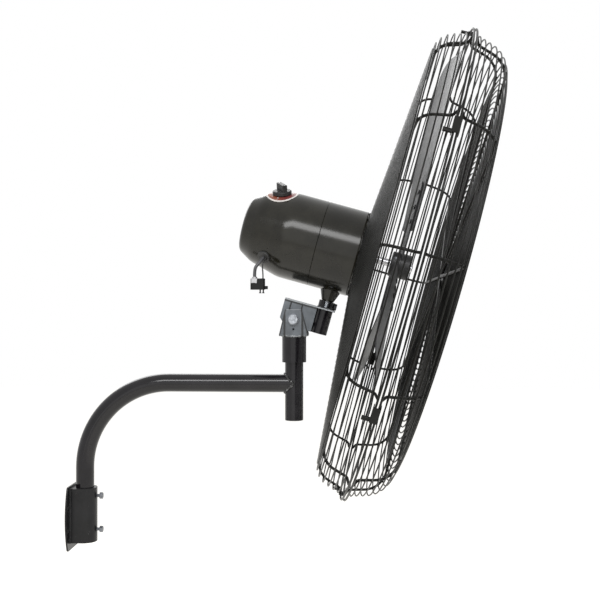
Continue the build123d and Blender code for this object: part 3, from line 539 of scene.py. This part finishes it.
# %% Knob
LINE_HALF = 0.7  # half the white line's width, in millimetres
LINE_START = 7.5  # from the knob's axis
GRIP_TOP = 18.2  # the line is above this height
board, place = open_finish("knob_plastic")
grip = dial_direction(KNOB_REST)
offset = board.vectors("SUBTRACT", place, tuple(dial_centre))
along = board.along(offset, grip)
beside = board.along(offset, dial_out.cross(grip))
height = board.along(offset, dial_out)
narrow = board.maths("ABSOLUTE", beside) < LINE_HALF * MM
line = narrow * (along > LINE_START * MM) * (height > GRIP_TOP * MM)
texture = board.noise(place, MOULD_GRAIN, 2.0)
close_finish(board, {
    "Base Color": board.blend(line, colour(0.030, 0.030, 0.030), colour(0.72, 0.70, 0.68)),
    "Specular IOR Level": 0.2,
    "Roughness": 0.36 + (texture - 0.5) * 0.12,
    "Normal": board.bump(texture, MOULD_RELIEF * MM),
})
print(len(finishes), "finishes")

# %% [markdown]
# ## Setting pieces in place
# Every piece is put on the body that it moves with and gets the finish of its material slot,
# and the CAD nodes that it stands for are hidden. A piece of one node takes its body and slot
# from the imported record, and a piece that stands for no node names its body and slot.

# %% Placing a piece
slot_of = {part["node"]: part["material_slot"] for part in frame["record"]["subparts"]}
body_of = {name: nodes[name]["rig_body"] for name in nodes}


def settle(piece, replaced=(), body=None, slot=None, finish=None):
    """Gives a piece its finish and its body, and hides the CAD nodes that it stands for."""
    slot = slot or slot_of[replaced[0]]
    piece.data.materials.clear()
    piece.data.materials.append(finishes[finish or slot])
    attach(piece, body or body_of[replaced[0]])
    if replaced:
        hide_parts(*replaced)
    return piece


def add_piece(name, mesh):
    piece = bpy.data.objects.new(name, mesh)
    scene.collection.objects.link(piece)
    return piece


print(len(slot_of), "nodes have a slot")

# %% [markdown]
# ## The leads
# A grey lead and a thin black wire come out of the grommet, turn down and end in a connector
# block. They are far too short to coil. Each follows a smooth NURBS curve with the same
# control points as its CAD route, straight out of the grommet and straight down into the
# block.

# %% Leads
lead_out = Vector((-0.43299, -0.68279, -0.58849))
lead_exit = Vector((345.1832, -50.3634, 454.0230)) * MM
wire_exit = Vector((350.1189, -51.3928, 451.5860)) * MM
lead_route = [
    lead_exit,
    lead_exit + lead_out * 6.5 * MM,
    Vector((338.3, -59.8, 444.2)) * MM,
    Vector((333.2, -62.4, 437.8)) * MM,
    Vector((331.6, -61.0, 429.4)) * MM,
    Vector((331.6, -61.0, 421.6)) * MM,
]
wire_route = [
    wire_exit,
    wire_exit + lead_out * 4.0 * MM,
    Vector((345.6, -59.4, 446.4)) * MM,
    Vector((344.6, -59.6, 437.2)) * MM,
    Vector((345.5, -57.4, 428.0)) * MM,
    Vector((345.5, -57.4, 418.6)) * MM,
]


def draw_lead(name, route, diameter, node):
    """A round lead on one smooth NURBS curve."""
    curve = bpy.data.curves.new(name, "CURVE")
    curve.dimensions = "3D"
    curve.resolution_u = 16
    curve.bevel_depth = diameter / 2
    curve.bevel_resolution = 6
    curve.use_fill_caps = True
    spline = curve.splines.new("NURBS")
    spline.points.add(len(route) - 1)
    for point, corner in zip(spline.points, route):
        point.co = (*corner, 1.0)
    spline.order_u = 3
    spline.use_endpoint_u = True
    return settle(add_piece(name, curve), [node])


power_lead = draw_lead("grey_lead", lead_route, 5.6 * MM, "power_lead")
thin_wire = draw_lead("black_wire", wire_route, 2.2 * MM, "thin_wire")
print("two leads")

# %% [markdown]
# ## Growing pieces with Geometry Nodes
# What repeats by a rule is grown: one tree makes any half of the guard, another any screw. A
# tree gets its sizes through named inputs, and runs on a small seed mesh. What it grows is
# taken out as a plain mesh, and the seed is thrown away.


# %% Trees and seeds
def new_tree(name, inputs):
    """A Geometry Nodes tree with named inputs: its board and a wire for each input."""
    tree = bpy.data.node_groups.new(name, "GeometryNodeTree")
    tree.interface.new_socket("Geometry", in_out="INPUT", socket_type="NodeSocketGeometry")
    tree.interface.new_socket("Geometry", in_out="OUTPUT", socket_type="NodeSocketGeometry")
    for label, kind in inputs.items():
        tree.interface.new_socket(label, in_out="INPUT", socket_type="NodeSocket" + kind)
    board = Board(tree)
    entry = tree.nodes.new("NodeGroupInput")
    return board, {socket.name: Wire(board, socket) for socket in entry.outputs if socket.name}


def close_tree(board, geometry, wires):
    """Makes instances real, sets the material and ends the tree."""
    real = board.add("GeometryNodeRealizeInstances", {}, {"Geometry": geometry})
    sockets = {"Geometry": real, "Material": wires["Material"]}
    dyed = board.add("GeometryNodeSetMaterial", {}, sockets)
    board.add("NodeGroupOutput", {}, {"Geometry": dyed})
    return board.tree


def plain_mesh(piece):
    """The mesh that an object comes to in the end; the object itself is thrown away."""
    evaluated = piece.evaluated_get(bpy.context.evaluated_depsgraph_get())
    mesh = bpy.data.meshes.new_from_object(evaluated)
    bpy.data.objects.remove(piece)
    return mesh


def grow(tree, name, points, edges, values):
    """Runs a tree on a seed mesh and gives what it grows as a plain mesh."""
    seed_mesh = bpy.data.meshes.new(name)
    seed_mesh.from_pydata([tuple(point) for point in points], edges, [])
    seed = add_piece(name + "_seed", seed_mesh)
    modifier = seed.modifiers.new("grow", "NODES")
    modifier.node_group = tree
    for item in tree.interface.items_tree:
        if item.in_out == "INPUT" and item.name in values:
            modifier[item.identifier] = values[item.name]
    grown = plain_mesh(seed)
    grown.name = name
    print(name, len(grown.polygons), "faces")
    return grown


# %% [markdown]
# ## The guard
# A guard half is twelve bent ribs with round wires welded across them, a wire every 10.2 mm
# along the rib. The rib's line is the seed: four corners, which the tree rounds. Sampling that
# line at the wires' pitch gives each ring its radius and its place along the axis, so both the
# rings and the little weld nuggets where they touch a rib follow from one line.


# %% Tree of a guard half
NUGGET = 1.0  # its radius in millimetres, before it is pressed flat
PRESSED = (1.8, 1.8, 0.8)
NUGGET_PLACE = 0.62  # from the rib's line towards the ring's, which is 1


def circle(board, corners, radius):
    sockets = {"Resolution": corners, "Radius": radius}
    return board.add("GeometryNodeCurvePrimitiveCircle", {}, sockets)


def round_wire(board, line, corners, thickness, caps=False):
    """A wire with a round section along a curve."""
    section = circle(board, corners, thickness / 2.0)
    return board.add("GeometryNodeCurveToMesh", {}, {
        "Curve": line, "Profile Curve": section, "Fill Caps": caps})


def scaled(board, vector, factor):
    sockets = {"Vector": vector, "Scale": factor}
    return board.add("ShaderNodeVectorMath", {"operation": "SCALE"}, sockets)


board, wires = new_tree("guard_half", {
    "Rim bend": "Float", "Face bend": "Float", "Rib wire": "Float", "Ring wire": "Float",
    "First ring": "Float", "Pitch": "Float", "Stand off": "Float", "Smallest": "Float",
    "Ribs": "Int", "First rib": "Float", "Rim radius": "Float", "Rim wire": "Float",
    "Rim place": "Float", "Material": "Material",
})
corner = board.add("GeometryNodeInputIndex")
bend = wires["Rim bend"] + (wires["Face bend"] - wires["Rim bend"]) * (corner - 1.0)
line = board.add("GeometryNodeMeshToCurve", {}, {"Mesh": wires["Geometry"]})
line = board.add("GeometryNodeFilletCurve", {"mode": "POLY"}, {
    "Curve": line, "Count": 9, "Radius": bend})
rib = round_wire(board, line, 10, wires["Rib wire"], caps=True)

length = board.add("GeometryNodeCurveLength", {}, {"Curve": line})
count = board.maths("FLOOR", (length - wires["First ring"]) / wires["Pitch"]) + 1.0
spots = board.add("GeometryNodePoints", {}, {"Count": count})
number = board.add("GeometryNodeInputIndex")
at = wires["First ring"] + number * wires["Pitch"]
sample = {"mode": "LENGTH", "use_all_curves": True}
spot = board.add("GeometryNodeSampleCurve", sample, {"Curves": line, "Length": at}, out="Position")
run = board.add("GeometryNodeSampleCurve", sample, {"Curves": line, "Length": at}, out="Tangent")
outwards = board.vectors("CROSS_PRODUCT", (0.0, 1.0, 0.0), run)
middle = board.vectors("ADD", spot, scaled(board, outwards, wires["Stand off"]))
radius = board.part(middle, "X")
depth = board.part(middle, "Z")
kept = radius > wires["Smallest"]

ring_spots = board.add("GeometryNodeSetPosition", {}, {
    "Geometry": spots, "Position": board.joined(z=depth)})
rings = board.add("GeometryNodeInstanceOnPoints", {}, {
    "Points": ring_spots, "Selection": kept, "Instance": circle(board, 144, 1.0),
    "Scale": board.joined(radius, radius, 1.0)})
real_rings = board.add("GeometryNodeRealizeInstances", {}, {"Geometry": rings})
ring_mesh = round_wire(board, real_rings, 8, wires["Ring wire"])
rim = board.add("GeometryNodeTransform", {}, {
    "Geometry": circle(board, 180, wires["Rim radius"]),
    "Translation": board.joined(z=wires["Rim place"])})
rim_mesh = round_wire(board, rim, 10, wires["Rim wire"])

nugget = board.add("GeometryNodeMeshUVSphere", {}, {
    "Segments": 8, "Rings": 5, "Radius": NUGGET * MM})
touching = scaled(board, outwards, wires["Stand off"] * NUGGET_PLACE)
nugget_spots = board.add("GeometryNodeSetPosition", {}, {
    "Geometry": spots, "Position": board.vectors("ADD", spot, touching)})
facing = board.add("FunctionNodeAlignRotationToVector", {"axis": "Z"}, {"Vector": outwards})
nuggets = board.add("GeometryNodeInstanceOnPoints", {}, {
    "Points": nugget_spots, "Selection": kept, "Instance": nugget, "Rotation": facing,
    "Scale": PRESSED})
dressed_rib = board.add("GeometryNodeJoinGeometry", {}, {"Geometry": [rib, nuggets]})

turn_index = board.add("GeometryNodeInputIndex")
turn = board.joined(z=wires["First rib"] + turn_index * (2 * pi) / wires["Ribs"])
hubs = board.add("GeometryNodePoints", {}, {"Count": wires["Ribs"]})
ribs = board.add("GeometryNodeInstanceOnPoints", {}, {
    "Points": hubs, "Instance": dressed_rib, "Rotation": turn})
wirework = board.add("GeometryNodeJoinGeometry", {}, {"Geometry": [ribs, ring_mesh, rim_mesh]})
smooth = board.add("GeometryNodeSetShadeSmooth", {}, {"Geometry": wirework})
guard_tree = close_tree(board, smooth, wires)
print("guard tree has", len(guard_tree.nodes), "nodes")

# %% [markdown]
# The two halves differ in depth and in where their ribs end: at the front under the round
# disc, at the rear on the motor's mount ring. A row gives the half's side, the four corners of
# its rib's line as radius and depth, the bend between side and face, and its smallest ring.

# %% Guard halves
rim_end = (409.325, 3.385)
side_corner = (398.4, 8.5)
guard_halves = {
    "front_guard": (1, [rim_end, side_corner, (382.139, 62.7), (14.0, 62.7)], 41.0, 40.3),
    "rear_guard": (-1, [rim_end, side_corner, (385.499, 51.5), (55.0, 79.95)], 31.0, 77.4),
}
for name, (side, corners, face_bend, smallest) in guard_halves.items():
    route = [Vector((radius, 0, side * depth)) * MM for radius, depth in corners]
    mesh = grow(guard_tree, name, route, [(0, 1), (1, 2), (2, 3)], {
        "Rim bend": 6.0 * MM, "Face bend": face_bend * MM, "Rib wire": 4.4 * MM,
        "Ring wire": 2.4 * MM, "First ring": (route[1] - route[0]).length, "Pitch": 10.2 * MM,
        "Stand off": side * 3.5 * MM, "Smallest": smallest * MM, "Ribs": 12,
        "First rib": radians(-0.7), "Rim radius": 410.95 * MM, "Rim wire": 3.5 * MM,
        "Rim place": side * 2.6 * MM, "Material": finishes["guard_paint"],
    })
    mesh.transform(HEAD)
    half = name.split("_")[0]
    parts = ["ribs", "inner_rings", "outer_rings", "side_rings"]
    settle(add_piece(name, mesh), [f"{half}_guard_{part}" for part in parts] + [f"{half}_rim_ring"])

# %% [markdown]
# ## Screws with real threads
# A hexagon head is a cylinder of 36 points whose radius follows the six flats. Its upper edge
# is cut by a cone, which leaves the curved corners of a real screw. The thread is a cylinder
# too: its radius rises and falls with the height minus the angle, and that makes a helix.


# %% Tree of a screw
CHAMFER = 0.577  # tangent of the 30 degrees at which the head's corners are cut
LAND = 0.47  # radius of the head's uncut middle, as a share of the width across flats


def unit_cylinder(board, corners, rows, cap_rows):
    return board.add("GeometryNodeMeshCylinder", {"fill_type": "NGON"}, {
        "Vertices": corners, "Side Segments": rows, "Fill Segments": cap_rows,
        "Radius": 1.0, "Depth": 1.0})


def thread(board, diameter, pitch, depth, length):
    """A threaded rod from z = 0 down, as wires on a board."""
    rod = unit_cylinder(board, 28, length / pitch * 8.0, 1)
    spot = board.add("GeometryNodeInputPosition")
    x, y, height = [board.part(spot, axis) for axis in "XYZ"]
    z = (height - 0.5) * length
    turn = board.maths("ARCTAN2", y, x) / (2 * pi)
    wave = board.maths("ABSOLUTE", board.maths("FRACT", z / pitch - turn + 0.5) - 0.5) * 2.0
    radius = diameter / 2.0 - depth * (1.0 - wave)
    moved = board.joined(x * radius, y * radius, z)
    cut = board.add("GeometryNodeSetPosition", {}, {"Geometry": rod, "Position": moved})
    return board.add("GeometryNodeSetShadeSmooth", {}, {"Geometry": cut})


board, wires = new_tree("hex_screw", {
    "Axis": "Vector", "Flats": "Float", "Head": "Float", "Diameter": "Float", "Pitch": "Float",
    "Depth": "Float", "Length": "Float", "Material": "Material",
})
blank = unit_cylinder(board, 36, 1, 2)
spot = board.add("GeometryNodeInputPosition")
x, y, z = [board.part(spot, axis) for axis in "XYZ"]
reach = (x * x + y * y) ** 0.5
turn = board.maths("ARCTAN2", y, x) + 2 * pi
folded = turn - board.maths("FLOOR", turn / (pi / 3)) * (pi / 3) - pi / 6
flat_radius = wires["Flats"] * 0.5 / board.maths("COSINE", folded)
land = wires["Flats"] * LAND
outer = reach > 0.75
radius = outer * flat_radius + (1.0 - outer) * land
height = (z + 0.5) * (wires["Head"] - outer * (flat_radius - land) * CHAMFER)
moved = board.joined(x / reach * radius, y / reach * radius, height)
head = board.add("GeometryNodeSetPosition", {}, {"Geometry": blank, "Position": moved})
shank = thread(board, wires["Diameter"], wires["Pitch"], wires["Depth"], wires["Length"])
screw = board.add("GeometryNodeJoinGeometry", {}, {"Geometry": [head, shank]})
facing = board.add("FunctionNodeAlignRotationToVector", {"axis": "Z"}, {"Vector": wires["Axis"]})
screws = board.add("GeometryNodeInstanceOnPoints", {}, {
    "Points": wires["Geometry"], "Instance": screw, "Rotation": facing})
screw_tree = close_tree(board, screws, wires)

board, wires = new_tree("threaded_stud", {
    "Diameter": "Float", "Pitch": "Float", "Depth": "Float", "Length": "Float",
    "Material": "Material",
})
rod = thread(board, wires["Diameter"], wires["Pitch"], wires["Depth"], wires["Length"])
stud_tree = close_tree(board, rod, wires)
print("screw tree has", len(screw_tree.nodes), "nodes")

# %% [markdown]
# One tree makes the fan's six kinds of hexagon screw. A row gives the heads' seats and the way
# they face, and then in millimetres the width across flats, the head's height, the thread's
# diameter and pitch, and the length under the head.

# %% Screws
mount_angles = [radians(97.5 + 90 * step) for step in range(4)]
motor_angles = [radians(45 + 90 * step) for step in range(4)]


def in_head(up, near, ahead):
    return HEAD @ (Vector((up, near, ahead)) * MM)


mount_seats = [in_head(66 * cos(angle), 66 * sin(angle), -82.2) for angle in mount_angles]
motor_seats = [in_head(68 * cos(angle), 68 * sin(angle), -84.2) for angle in motor_angles]
clamp_seats = [Vector((50.95, 0, height)) * MM for height in (36.9, -22.3)]
screw_kinds = {
    "clamp_screws": (clamp_seats, (1, 0, 0), 10, 5.6, 6, 1.0, 10.5),
    "sleeve_lock_screw": ([Vector((POST_X, 23.5625, 297)) * MM], (0, 1, 0), 13, 5.3, 8, 1.25, 7.2),
    "tilt_bolt": ([Vector((POST_X, -23.4, 348.8)) * MM], (0, -1, 0), 16, 6.4, 10, 1.5, 56.8),
    "socket_lock_screw": ([in_head(-99.4, 0, -100.8)], tuple(forward), 10, 4.5, 6, 1.0, 4.2),
    "guard_mount_screws": (mount_seats, tuple(forward), 10, 4.2, 6, 1.0, 10.0),
    "motor_bolts": (motor_seats, tuple(forward), 8, 3.5, 5, 0.8, 89.2),
}
screw_finish = {"clamp_screws": "dull_zinc"}
for node, (seats, axis, flats, head_height, diameter, pitch, length) in screw_kinds.items():
    mesh = grow(screw_tree, node + "_threaded", seats, [], {
        "Axis": axis, "Flats": flats * MM, "Head": head_height * MM, "Diameter": diameter * MM,
        "Pitch": pitch * MM, "Depth": pitch * 0.5 * MM, "Length": length * MM,
        "Material": finishes["zinc"],
    })
    settle(add_piece(node + "_threaded", mesh), [node], finish=screw_finish.get(node))

stud_mesh = grow(stud_tree, "neck_stud_threaded", [(0, 0, 0)], [], {
    "Diameter": 19.0 * MM, "Pitch": 2.0 * MM, "Depth": 0.8 * MM, "Length": 69.5 * MM,
    "Material": finishes["zinc"],
})
stud_top = Matrix.Translation(in_head(-78.7, 0, STUD_AHEAD))
stud_mesh.transform(stud_top @ upward.to_track_quat("Z", "Y").to_matrix().to_4x4())
settle(add_piece("neck_stud_threaded", stud_mesh), ["neck_stud"])

# %% [markdown]
# ## Weld beads
# Where tubes and plates meet, the real fan shows a row of overlapping drops. A drop is a
# flattened ball; the tree sets one every millimetre and a half along the joint, turned the
# way the joint runs, with its own size from a fixed seed.

# %% Tree of a weld bead
DROP_FLATNESS = 0.72  # a drop's length along the joint, as a share of its width
board, wires = new_tree("weld_bead", {
    "Size": "Float", "Pitch": "Float", "Seed": "Int", "Material": "Material"})
joint = board.add("GeometryNodeMeshToCurve", {}, {"Mesh": wires["Geometry"]})
joint = board.add("GeometryNodeResampleCurve", {"mode": "LENGTH"}, {
    "Curve": joint, "Length": wires["Pitch"]})
run = board.add("GeometryNodeInputTangent")
facing = board.add("FunctionNodeAlignRotationToVector", {"axis": "X"}, {"Vector": run})
drop = board.add("GeometryNodeMeshUVSphere", {}, {"Segments": 10, "Rings": 7, "Radius": 1.0})
spread = board.add("FunctionNodeRandomValue", {"data_type": "FLOAT"}, {
    "Min": 0.86, "Max": 1.1, "Seed": wires["Seed"]})
size = wires["Size"] * spread
drops = board.add("GeometryNodeInstanceOnPoints", {}, {
    "Points": joint, "Instance": drop, "Rotation": facing,
    "Scale": board.joined(size * DROP_FLATNESS, size, size)})
smooth = board.add("GeometryNodeSetShadeSmooth", {}, {"Geometry": drops})
weld_tree = close_tree(board, smooth, wires)
print("weld tree has", len(weld_tree.nodes), "nodes")


# %% Weld beads
def loop(points):
    return points, [(step, (step + 1) % len(points)) for step in range(len(points))]


def seam(points):
    return points, [(step, step + 1) for step in range(len(points) - 1)]


TUBE = 15.875  # radius of the arm's tube and the post's
ARM_HEIGHT = 237
SADDLE = TUBE * 1.02  # the bead stands a little outside the tube
SLEEVE = 21.2  # radius of the bead on the swivel sleeve
SOCKET = 14.2  # and of the one round the socket
full_turn = [2 * pi * step / 72 for step in range(72)]
saddle = [
    Vector((POST_X - TUBE * abs(cos(a)) - 0.4, SADDLE * sin(a), ARM_HEIGHT + SADDLE * cos(a))) * MM
    for a in full_turn
]
sleeve_ring = [Vector((POST_X + SLEEVE * cos(a), SLEEVE * sin(a), 319.4)) * MM for a in full_turn]
socket_ring = [in_head(-105.4, SOCKET * sin(a), STUD_AHEAD + SOCKET * cos(a)) for a in full_turn]
bracket_seams = [
    [Vector((3.6, side * 21.6, height)) * MM for height in (-42, 51)] for side in (-1, 1)
]
weld_rows = {
    "arm_weld": (loop(saddle), 2.3, "wall_mount", "arm_paint", ["weld_bead"]),
    "fork_weld": (loop(sleeve_ring), 1.3, "swivel_base", "fork_paint", []),
    "socket_weld": (loop(socket_ring), 1.1, "tilt_frame", "arm_paint", []),
    "bracket_weld_near": (seam(bracket_seams[0]), 2.2, "wall_mount", "bracket_paint", []),
    "bracket_weld_far": (seam(bracket_seams[1]), 2.2, "wall_mount", "bracket_paint", []),
}
weld_finish = {"arm_weld": "weld_paint", "socket_weld": "weld_paint"}
for seed, (name, ((points, edges), size, body, slot, replaced)) in enumerate(weld_rows.items()):
    mesh = grow(weld_tree, name, points, edges, {
        "Size": size * MM, "Pitch": 1.5 * MM, "Seed": seed, "Material": finishes[slot]})
    settle(add_piece(name, mesh), replaced, body, slot, weld_finish.get(name))

# %% [markdown]
# ## Soft edges on CAD parts
# A CAD solid has knife edges, and no real edge is that sharp: cut sheet is deburred, and
# folded sheet has a round fold as wide as the sheet is thick. These parts are copied, their
# loose triangles are merged back into faces, their folds are rounded, and a small Bevel
# softens the rest.


# %% Copies with soft edges
FOLD_RADIUS = 2.4
SHARP = radians(32)  # an edge that turns more than this is a real edge
EXACT = 0.05  # how near a corner has to be to count as on a fold, in millimetres


def soften(node, width, folds=(), finish=None):
    """A copy of a CAD node with rounded folds and soft edges."""
    mesh = nodes[node].data.copy()
    shape = bmesh.new()
    shape.from_mesh(mesh)
    bmesh.ops.remove_doubles(shape, verts=shape.verts, dist=0.002 * MM)
    bmesh.ops.dissolve_limit(shape, angle_limit=radians(0.4), verts=shape.verts, edges=shape.edges)
    for is_fold in folds:
        chosen = [edge for edge in shape.edges if all(is_fold(vertex.co) for vertex in edge.verts)]
        bmesh.ops.bevel(shape, geom=chosen, offset=FOLD_RADIUS * MM, offset_type="OFFSET",
                        segments=5, profile=0.5, affect="EDGES", clamp_overlap=True)
    shape.to_mesh(mesh)
    shape.free()
    for name in ("custom_normal", "sharp_face", "sharp_edge"):
        if name in mesh.attributes:
            mesh.attributes.remove(mesh.attributes[name])
    mesh.shade_smooth()
    mesh.set_sharp_from_angle(angle=SHARP)
    piece = add_piece(node + "_soft", mesh)
    bevel = piece.modifiers.new("soft edges", "BEVEL")
    bevel.width = width * MM
    bevel.segments = 2
    bevel.limit_method = "ANGLE"
    bevel.angle_limit = SHARP
    bevel.use_clamp_overlap = True
    bevel.harden_normals = True
    return settle(piece, [node], finish=finish)


def head_place(point):
    return HEAD.inverted() @ point / MM


def yoke_fold(side):
    return lambda point: (abs(head_place(point).x + 105.7) < EXACT
                          and abs(head_place(point).y - side * 17.5) < EXACT)


def fork_fold(side):
    return lambda point: (abs(point.z / MM - EAR_BOTTOM) < EXACT
                          and abs(point.y / MM - side * 20.8) < EXACT)


soften("tilt_yoke", 0.3, folds=[yoke_fold(1), yoke_fold(-1)], finish="yoke_paint")
soften("tilt_fork", 0.3, folds=[fork_fold(1), fork_fold(-1)])
soft_widths = {
    "wall_plate": 0.5, "wall_sleeve": 0.6, "swivel_sleeve": 0.5, "socket_tube": 0.5,
    "post_tube": 0.4, "tilt_washers": 0.25, "tilt_nut": 0.4, "rim_clips": 0.5,
    "lead_connector": 0.7, "guard_mount_ring": 0.3, "blade_rivets": 0.9, "blade_hub": 0.4,
}
soft_finish = {
    "blade_hub": "dark_casting", "blade_rivets": "blade_aluminium", "tilt_washers": "dull_zinc",
    "lead_connector": "connector_plastic", "swivel_sleeve": "upright_paint",
    "socket_tube": "upright_paint", "post_tube": "upright_paint",
}
soft = {
    node: soften(node, width, finish=soft_finish.get(node)) for node, width in soft_widths.items()
}
print(2 + len(soft_widths), "parts have soft edges")

# %% [markdown]
# The connector is now the piece on the leads' far end.

# %% The leads' far end
print("both leads end in the connector")

# %% [markdown]
# ## Numbers on the dial
# The digits 0 to 3 stand beside the ticks. Each starts as a text object, is made a mesh, and
# is laid on the curved plate: a ray from above finds the plate under every corner.

# %% Digits
DIGIT_SIZE = 4.6
DIGIT_REACH = 21.4  # from the knob's axis to a digit's middle
INK = 0.05  # how far the digits stand off the plate
plate_mesh = bmesh.new()
plate_mesh.from_mesh(nodes["dial_plate"].data)
plate_surface = BVHTree.FromBMesh(plate_mesh)
digits = bmesh.new()
for number, angle in speed_marks.items():
    text = bpy.data.curves.new("digit", "FONT")
    text.body = str(number)
    text.size = DIGIT_SIZE * MM
    text.align_x = "CENTER"
    text.align_y = "CENTER"
    text_object = add_piece("digit", text)
    bpy.context.view_layer.update()
    flat = plain_mesh(text_object)
    outward = dial_direction(angle)
    spin = Matrix((dial_out.cross(outward) * -1, outward, dial_out)).transposed().to_4x4()
    spin.translation = dial_centre + outward * DIGIT_REACH * MM
    flat.transform(spin)
    digits.from_mesh(flat)
bmesh.ops.subdivide_edges(digits, edges=digits.edges, cuts=1, use_grid_fill=False)
bmesh.ops.triangulate(digits, faces=digits.faces)
for vertex in digits.verts:
    start = vertex.co + dial_out * 15 * MM
    hit = plate_surface.ray_cast(start, -dial_out)[0]
    vertex.co = hit + dial_out * INK * MM
digit_mesh = bpy.data.meshes.new("dial_digits")
digits.to_mesh(digit_mesh)
digits.free()
plate_mesh.free()
settle(add_piece("dial_digits", digit_mesh), body="fan_head", slot="dial_red", finish="dial_print")
print("digits", len(digit_mesh.polygons), "faces")

# %% [markdown]
# ## Finishes on the parts that stay
# The housing, arm, blades and the motor's insides are right as the CAD model has them.
# Each gets the finish of its slot in place of the plain colour that it came with.

# %% Finishes on CAD nodes
own_finish = {"speed_knob": "knob_plastic", "connector_screws": "dark_casting"}
for name, node in nodes.items():
    if not node.hide_render:
        node.data.materials.clear()
        node.data.materials.append(finishes[own_finish.get(name, slot_of[name])])
print(sum(not node.hide_render for node in nodes.values()), "CAD nodes stay")

# %% [markdown]
# ## Floor, lamps and surroundings
# The fan hangs over a plain pale floor. One long soft lamp stands on the camera's side and
# above, which draws the bright band along the round housing and the thin line along the arm. A
# weaker one fills in at the camera's height, and two more stand on the fan's far side and in
# front of its blades. The surroundings and the floor are white to the camera and to
# reflections, and dimmer as a light, so that colours come out as they are written.


# %% What sees white
WHITE = colour(1.0, 1.0, 1.0)


def straight_rays(board):
    """1 for the camera's rays, reflected and refracted ones, and 0 for light that only fills."""
    kinds = ("Is Camera Ray", "Is Glossy Ray", "Is Transmission Ray")
    seen, mirrored, refracted = [board.add("ShaderNodeLightPath", out=kind) for kind in kinds]
    return board.maths("MINIMUM", seen + mirrored + refracted, 1.0)


print("straight rays see white")

# %% Floor
FLOOR_Z = -0.6
FLOOR_HALF = 9.0
FLOOR_GLOW = 0.76  # added to the lit floor for the camera, so that it comes out white
quarters = ((-1, -1), (1, -1), (1, 1), (-1, 1))
floor_corners = [(x * FLOOR_HALF, y * FLOOR_HALF, FLOOR_Z) for x, y in quarters]
floor_mesh = bpy.data.meshes.new("floor")
floor_mesh.from_pydata(floor_corners, [], [(0, 1, 2, 3)])
floor = add_piece("floor", floor_mesh)
board, place = open_finish("pale_floor")
seen = board.add("ShaderNodeEmission", {}, {"Color": WHITE, "Strength": FLOOR_GLOW})
ground = board.add("ShaderNodeBsdfDiffuse", {}, {"Color": colour(0.80, 0.77, 0.69)})
both = board.add("ShaderNodeAddShader", {}, {0: ground, 1: seen})
mixed = board.add("ShaderNodeMixShader", {}, {0: straight_rays(board), 1: ground, 2: both})
board.add("ShaderNodeOutputMaterial", {}, {"Surface": mixed})
floor_mesh.materials.append(finishes["pale_floor"])
print("floor at", FLOOR_Z, "m")

# %% Surroundings
world = bpy.data.worlds.new("studio")
scene.world = world
world.use_nodes = True
world.node_tree.nodes.clear()
board = Board(world.node_tree)
full = board.add("ShaderNodeBackground", {}, {"Color": WHITE, "Strength": 1.0})
dim = board.add("ShaderNodeBackground", {}, {"Color": WHITE, "Strength": 0.35})
mixed = board.add("ShaderNodeMixShader", {}, {0: straight_rays(board), 1: dim, 2: full})
board.add("ShaderNodeOutputWorld", {}, {"Surface": mixed})
print("surroundings are white to the camera")


# %% Lamps
def softbox(name, place, target, wide, high, brightness):
    """A rectangular lamp that faces a target, as bright as brightness over its whole face."""
    lamp = bpy.data.lights.new(name, "AREA")
    lamp.shape = "RECTANGLE"
    lamp.size = wide
    lamp.size_y = high
    lamp.energy = brightness * pi * wide * high
    stand = bpy.data.objects.new(name, lamp)
    stand.location = place
    aim = Vector(target) - Vector(place)
    stand.rotation_euler = aim.to_track_quat("-Z", "Y").to_euler()
    scene.collection.objects.link(stand)
    print(name, round(lamp.energy), "W")


middle = (0.35, 0.0, 0.35)
softbox("key", (0.62, -2.1, 1.7), middle, 2.5, 0.62, 9.5)
softbox("fill", (0.45, -3.0, 0.45), middle, 3.4, 1.6, 0.45)
softbox("back", (-0.6, 2.2, 1.8), middle, 2.0, 1.2, 3.0)
softbox("front", (3.0, -0.5, 1.2), middle, 1.6, 1.6, 1.6)
